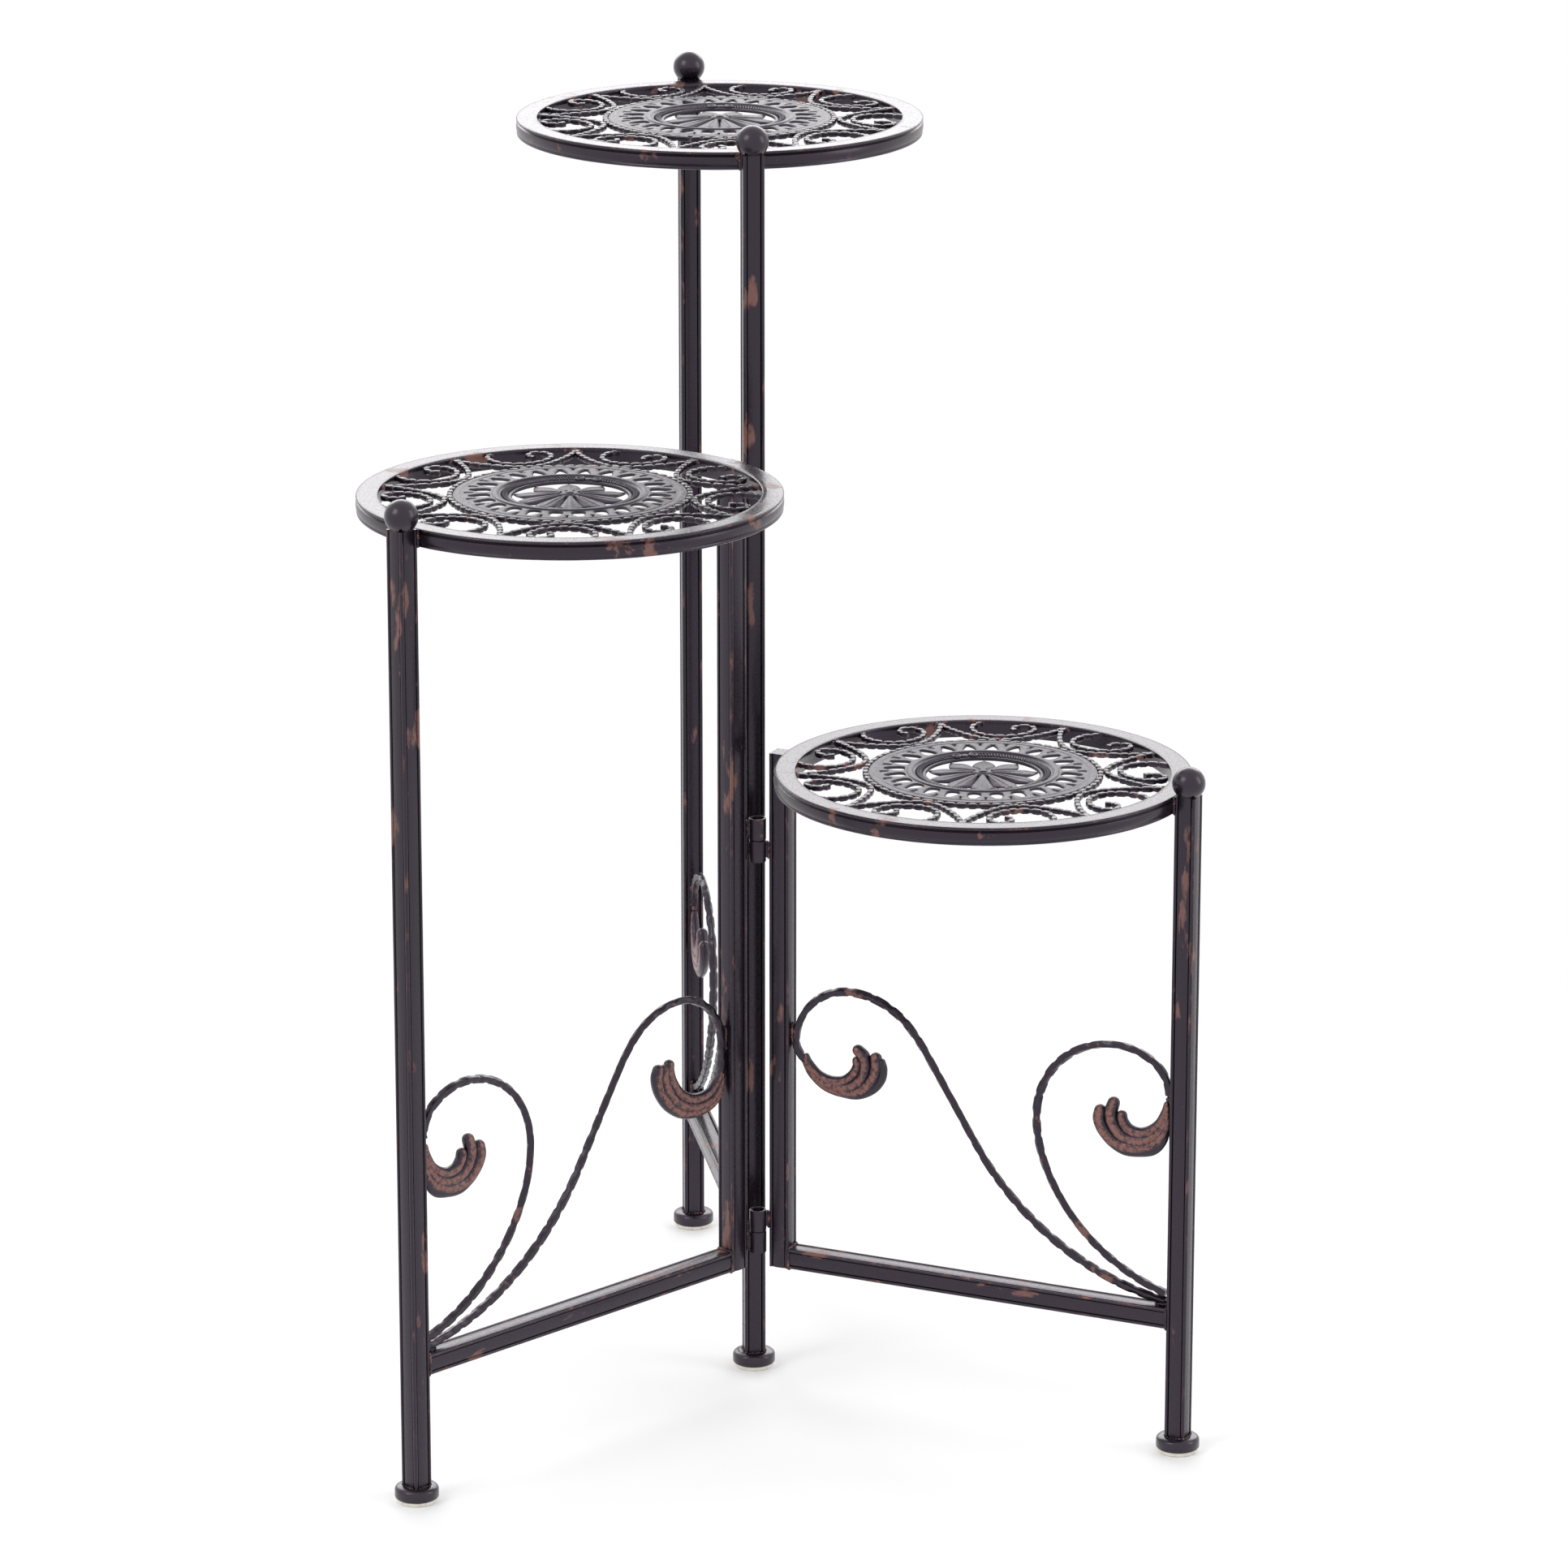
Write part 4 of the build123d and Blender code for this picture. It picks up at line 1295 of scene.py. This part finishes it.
def bar_welds(u, spots):
    """Weld metal where tray, stretcher and scroll rods meet the legs, and at the rods' foot."""
    face = bar_half + 0.1
    for x, side in ((0.0, 1), (u.span, -1)):
        edge = x + side * face
        reaches_rim = side == 1 or u.name == "tall"
        top = u.rim - 1.0 if reaches_rim else u.rim - 5.0
        for y in (-5.9, 5.9):
            bead_row(spots, (edge, y, u.rim - 9.0), (edge, y, top), 0.95)
        bead_row(spots, (edge, -4.5, u.rim - ring_height), (edge, 4.5, u.rim - ring_height), 0.9)
        for z in (stretcher_centre - bar_half, stretcher_centre + bar_half):
            bead_row(spots, (edge, -5.0, z), (edge, 5.0, z), 0.95)
        for y in (-5.8, 5.8):
            bead_row(spots, (edge, y, stretcher_centre - 4.5), (edge, y, stretcher_centre + 4.5), 0.85)
        seam = x + side * (face + 0.3)
        for y in (-1.4, 1.4):
            bead_row(spots, (seam, y, weld_height - 1.0), (seam, y, weld_height + 10.0), 1.0)
        rod = x + side * rod_side
        bead_row(spots, (rod, 0, weld_height - 2.2), (rod, 0, weld_height + 0.8), 1.9)
    for y in (-1.8, 1.8):
        foot = (face + 0.2, y, stretcher_top + 1.0)
        bead_row(spots, foot, (rod_side + 5.0, y, stretcher_top + 0.6), 0.95)
        bead_row(spots, foot, (face + 0.2, y, stretcher_top + 9.0), 0.95)


def leg_end_welds(u, spots):
    """Weld metal under each ball and on top of each foot cap."""
    for x in u.standing:
        for k in range(26):
            a = heading_vector(k * 360 / 26) * ball_weld_ring
            spots.append((Vector((x + a.x, a.y, u.leg_top + 0.3)), 0.85))
        for k in range(24):
            a = heading_vector(k * 360 / 24)
            reach = min(7.6, (bar_half + 0.2) / max(abs(a.x), abs(a.y)))
            spots.append((Vector((x + a.x * reach, a.y * reach, foot_top - 0.1)), 0.8))


def tray_welds(u, spots, draw):
    """Weld metal where the wires of a tray meet its ring and its band."""
    for k in range(cell_count):
        cell = u.cell(k)
        peak = u.tray(u.tray_turn + k * 360 / cell_count)
        for side in (-1, 1):
            at = Vector((bore_radius - 0.6, side * 1.9, wire_level + 0.5))
            spots.append((peak @ at, 1.35 * draw.uniform(0.85, 1.15)))
            spots.append((peak @ Vector((bore_radius - 0.4, side * 3.0, wire_level)), 0.9))
        spots.append((peak @ Vector((bore_radius - 0.8, 0, wire_level + 0.7)), 1.3))
        spots.append((peak @ Vector((bore_radius - 2.6, 0, wire_level + 0.2)), 1.1))
        for x in (-2.2, -0.8, 0.8, 2.2):
            at = Vector((x, band_outer_radius + 0.1, wire_level + 0.9))
            spots.append((cell @ at, 0.95 * draw.uniform(0.8, 1.2)))
        for x, y, size in ((-12.4, 36.2, 1.5), (-11.2, 36.5, 1.1), (-13.8, 35.7, 1.0)):
            spots.append((cell @ Vector((x, band_outer_radius + y, wire_level + 0.5)), size))


def hinge_welds(u, hinge, side, takes_upper, spots):
    """Weld metal round the end of each hinge arm, on the leg's corner."""
    reach, offset = hinge["reach"], hinge["offset"]
    out = Vector((reach, side * offset, 0)).normalized()
    corner = (bar_half + 5.2) / (abs(out.x) + abs(out.y))
    across = Vector((-out.y, out.x, 0)) * (arm_thickness / 2)
    half = Vector((0, 0, arm_height / 2))
    for bottom, upper in zip(hinge["bottoms"], takes_upper):
        z = bottom + (knuckle_length + knuckle_gap) * upper + knuckle_length / 2
        base = Vector((u.span, 0, z)) + out * (corner + 0.3)
        for sign in (-1, 1):
            bead_row(spots, base + across * sign - half, base + across * sign + half, 0.8)
        for end in (-4.1, 4.1):
            level = Vector((0, 0, end))
            bead_row(spots, base - across + level, base + across + level, 0.8)


def weld_piece(u, spots, seed):
    """All the weld metal of a frame as one piece."""
    cloud = bpy.data.meshes.new("weld points")
    cloud.from_pydata([point * MM for point, size in spots], [], [])
    mark(cloud, "size", [size * MM for point, size in spots])
    numbers = {"Lump": 0.09, "Seed": seed, "Finish": finishes["weld"]}
    mesh = grow(show("weld points", cloud), weld_lumps, numbers)
    mark(mesh, "relief", [0.55] * len(mesh.vertices))
    mesh.shade_smooth()
    set_piece(f"{u.name}_weld_beads", mesh, u.place, u.name, "painted_bar")


# Leaves of the hinges: frame, hinge, side of the leg, and which knuckle of each pair is the upper one
hinge_leaves = (
    ("tall", "rear", rear_hinge, -1, (1, 0)),
    ("middle", "rear", rear_hinge, 1, (0, 1)),
    ("middle", "front", front_hinge, -1, (0, 1)),
    ("low", "front", front_hinge, 1, (1, 0)),
)
draw = random.Random(7)
for index, u in enumerate(uprights.values()):
    frame_bars(u)
    frame_tray(u)
    medallion(u)
    frame_leaves(u)
    balls_and_feet(u)
    spots = []
    bar_welds(u, spots)
    leg_end_welds(u, spots)
    tray_welds(u, spots, draw)
    for owner, label, hinge, side, takes_upper in hinge_leaves:
        if owner == u.name:
            knuckle_pair(u, label, hinge, side, takes_upper)
            hinge_welds(u, hinge, side, takes_upper, spots)
    weld_piece(u, spots, 11 + index)
hinge_pins("rear_hinge_pins", "tall", rear_hinge)
hinge_pins("front_hinge_pins", "middle", front_hinge)


# Studio

floor_half = 14.0
floor_white = (0.97, 0.97, 0.97, 1)
white_from = (0.3, 0.9)
fill_light = 0.9


def seen_directly(tree):
    """1 for the rays that show the background: those of the camera, of gloss and of glass."""
    rays = put(tree, "ShaderNodeLightPath").outputs
    seen = reckon(tree, "MAXIMUM", rays["Is Camera Ray"], rays["Is Glossy Ray"])
    return reckon(tree, "MAXIMUM", seen, rays["Is Transmission Ray"])


def studio_floor():
    """Pale floor that takes the shadow near the stand and is plain white further off."""
    material, tree, surface = new_material("white sweep")
    surface.inputs["Base Color"].default_value = floor_white
    surface.inputs["Roughness"].default_value = 0.9
    surface.inputs["Specular IOR Level"].default_value = 0.0
    place = put(tree, "ShaderNodeTexCoord").outputs["Object"]
    away = put(tree, "ShaderNodeVectorMath", {0: place}, operation="LENGTH").outputs["Value"]
    glow = put(tree, "ShaderNodeEmission", {"Color": WHITE, "Strength": 1.0}).outputs[0]
    share = reckon(tree, "MULTIPLY", ease(tree, away, *white_from), seen_directly(tree))
    mix = put(tree, "ShaderNodeMixShader", {0: share, 1: surface.outputs[0], 2: glow}).outputs[0]
    tree.links.new(mix, tree.nodes["Material Output"].inputs["Surface"])
    mesh = bpy.data.meshes.new("floor")
    half = floor_half
    mesh.from_pydata([(-half, -half, 0), (half, -half, 0), (half, half, 0), (-half, half, 0)], [],
                     [(0, 1, 2, 3)])
    mesh.materials.append(material)
    show("studio_floor", mesh)


def studio_world():
    """White surroundings at full strength where they are seen, a little less as light."""
    world = bpy.data.worlds.new("studio")
    bpy.context.scene.world = world
    world.use_nodes = True
    tree = world.node_tree
    tree.nodes.clear()
    strength = ease(tree, seen_directly(tree), 0.0, 1.0, fill_light, 1.0)
    background = put(tree, "ShaderNodeBackground", {"Color": WHITE, "Strength": strength})
    put(tree, "ShaderNodeOutputWorld", {"Surface": background.outputs[0]})


def soft_light(name, location, target, width, height, power):
    """Rectangular softbox that faces its target."""
    lamp = bpy.data.lights.new(name, "AREA")
    lamp.shape = "RECTANGLE"
    lamp.size = width
    lamp.size_y = height
    lamp.energy = power
    piece = show(name, lamp)
    piece.location = location
    piece.rotation_euler = (Vector(target) - Vector(location)).to_track_quat("-Z", "Y").to_euler()
    piece.visible_camera = False


studio_floor()
studio_world()
soft_light("back_softbox", (0.0, 3.2, 1.9), (0, 0, 0.4), 4.5, 1.6, 64)
soft_light("key_softbox", (-2.2, -1.8, 2.6), (0, 0, 0.35), 1.6, 1.6, 26)
soft_light("side_softbox", (2.6, -0.6, 1.4), (0, 0, 0.35), 1.0, 1.8, 12)

camera_tilt = 15.91
camera_data = bpy.data.cameras.new("camera")
camera = show("camera", camera_data)
camera.location = (-0.0007, -3.6041, 1.370)
camera.rotation_euler = (math.radians(90 - camera_tilt), 0, 0)
camera_data.lens = 154.2
camera_data.sensor_width = 36
camera_data.clip_end = 60
bpy.context.scene.camera = camera
bpy.context.scene.view_settings.view_transform = "Standard"
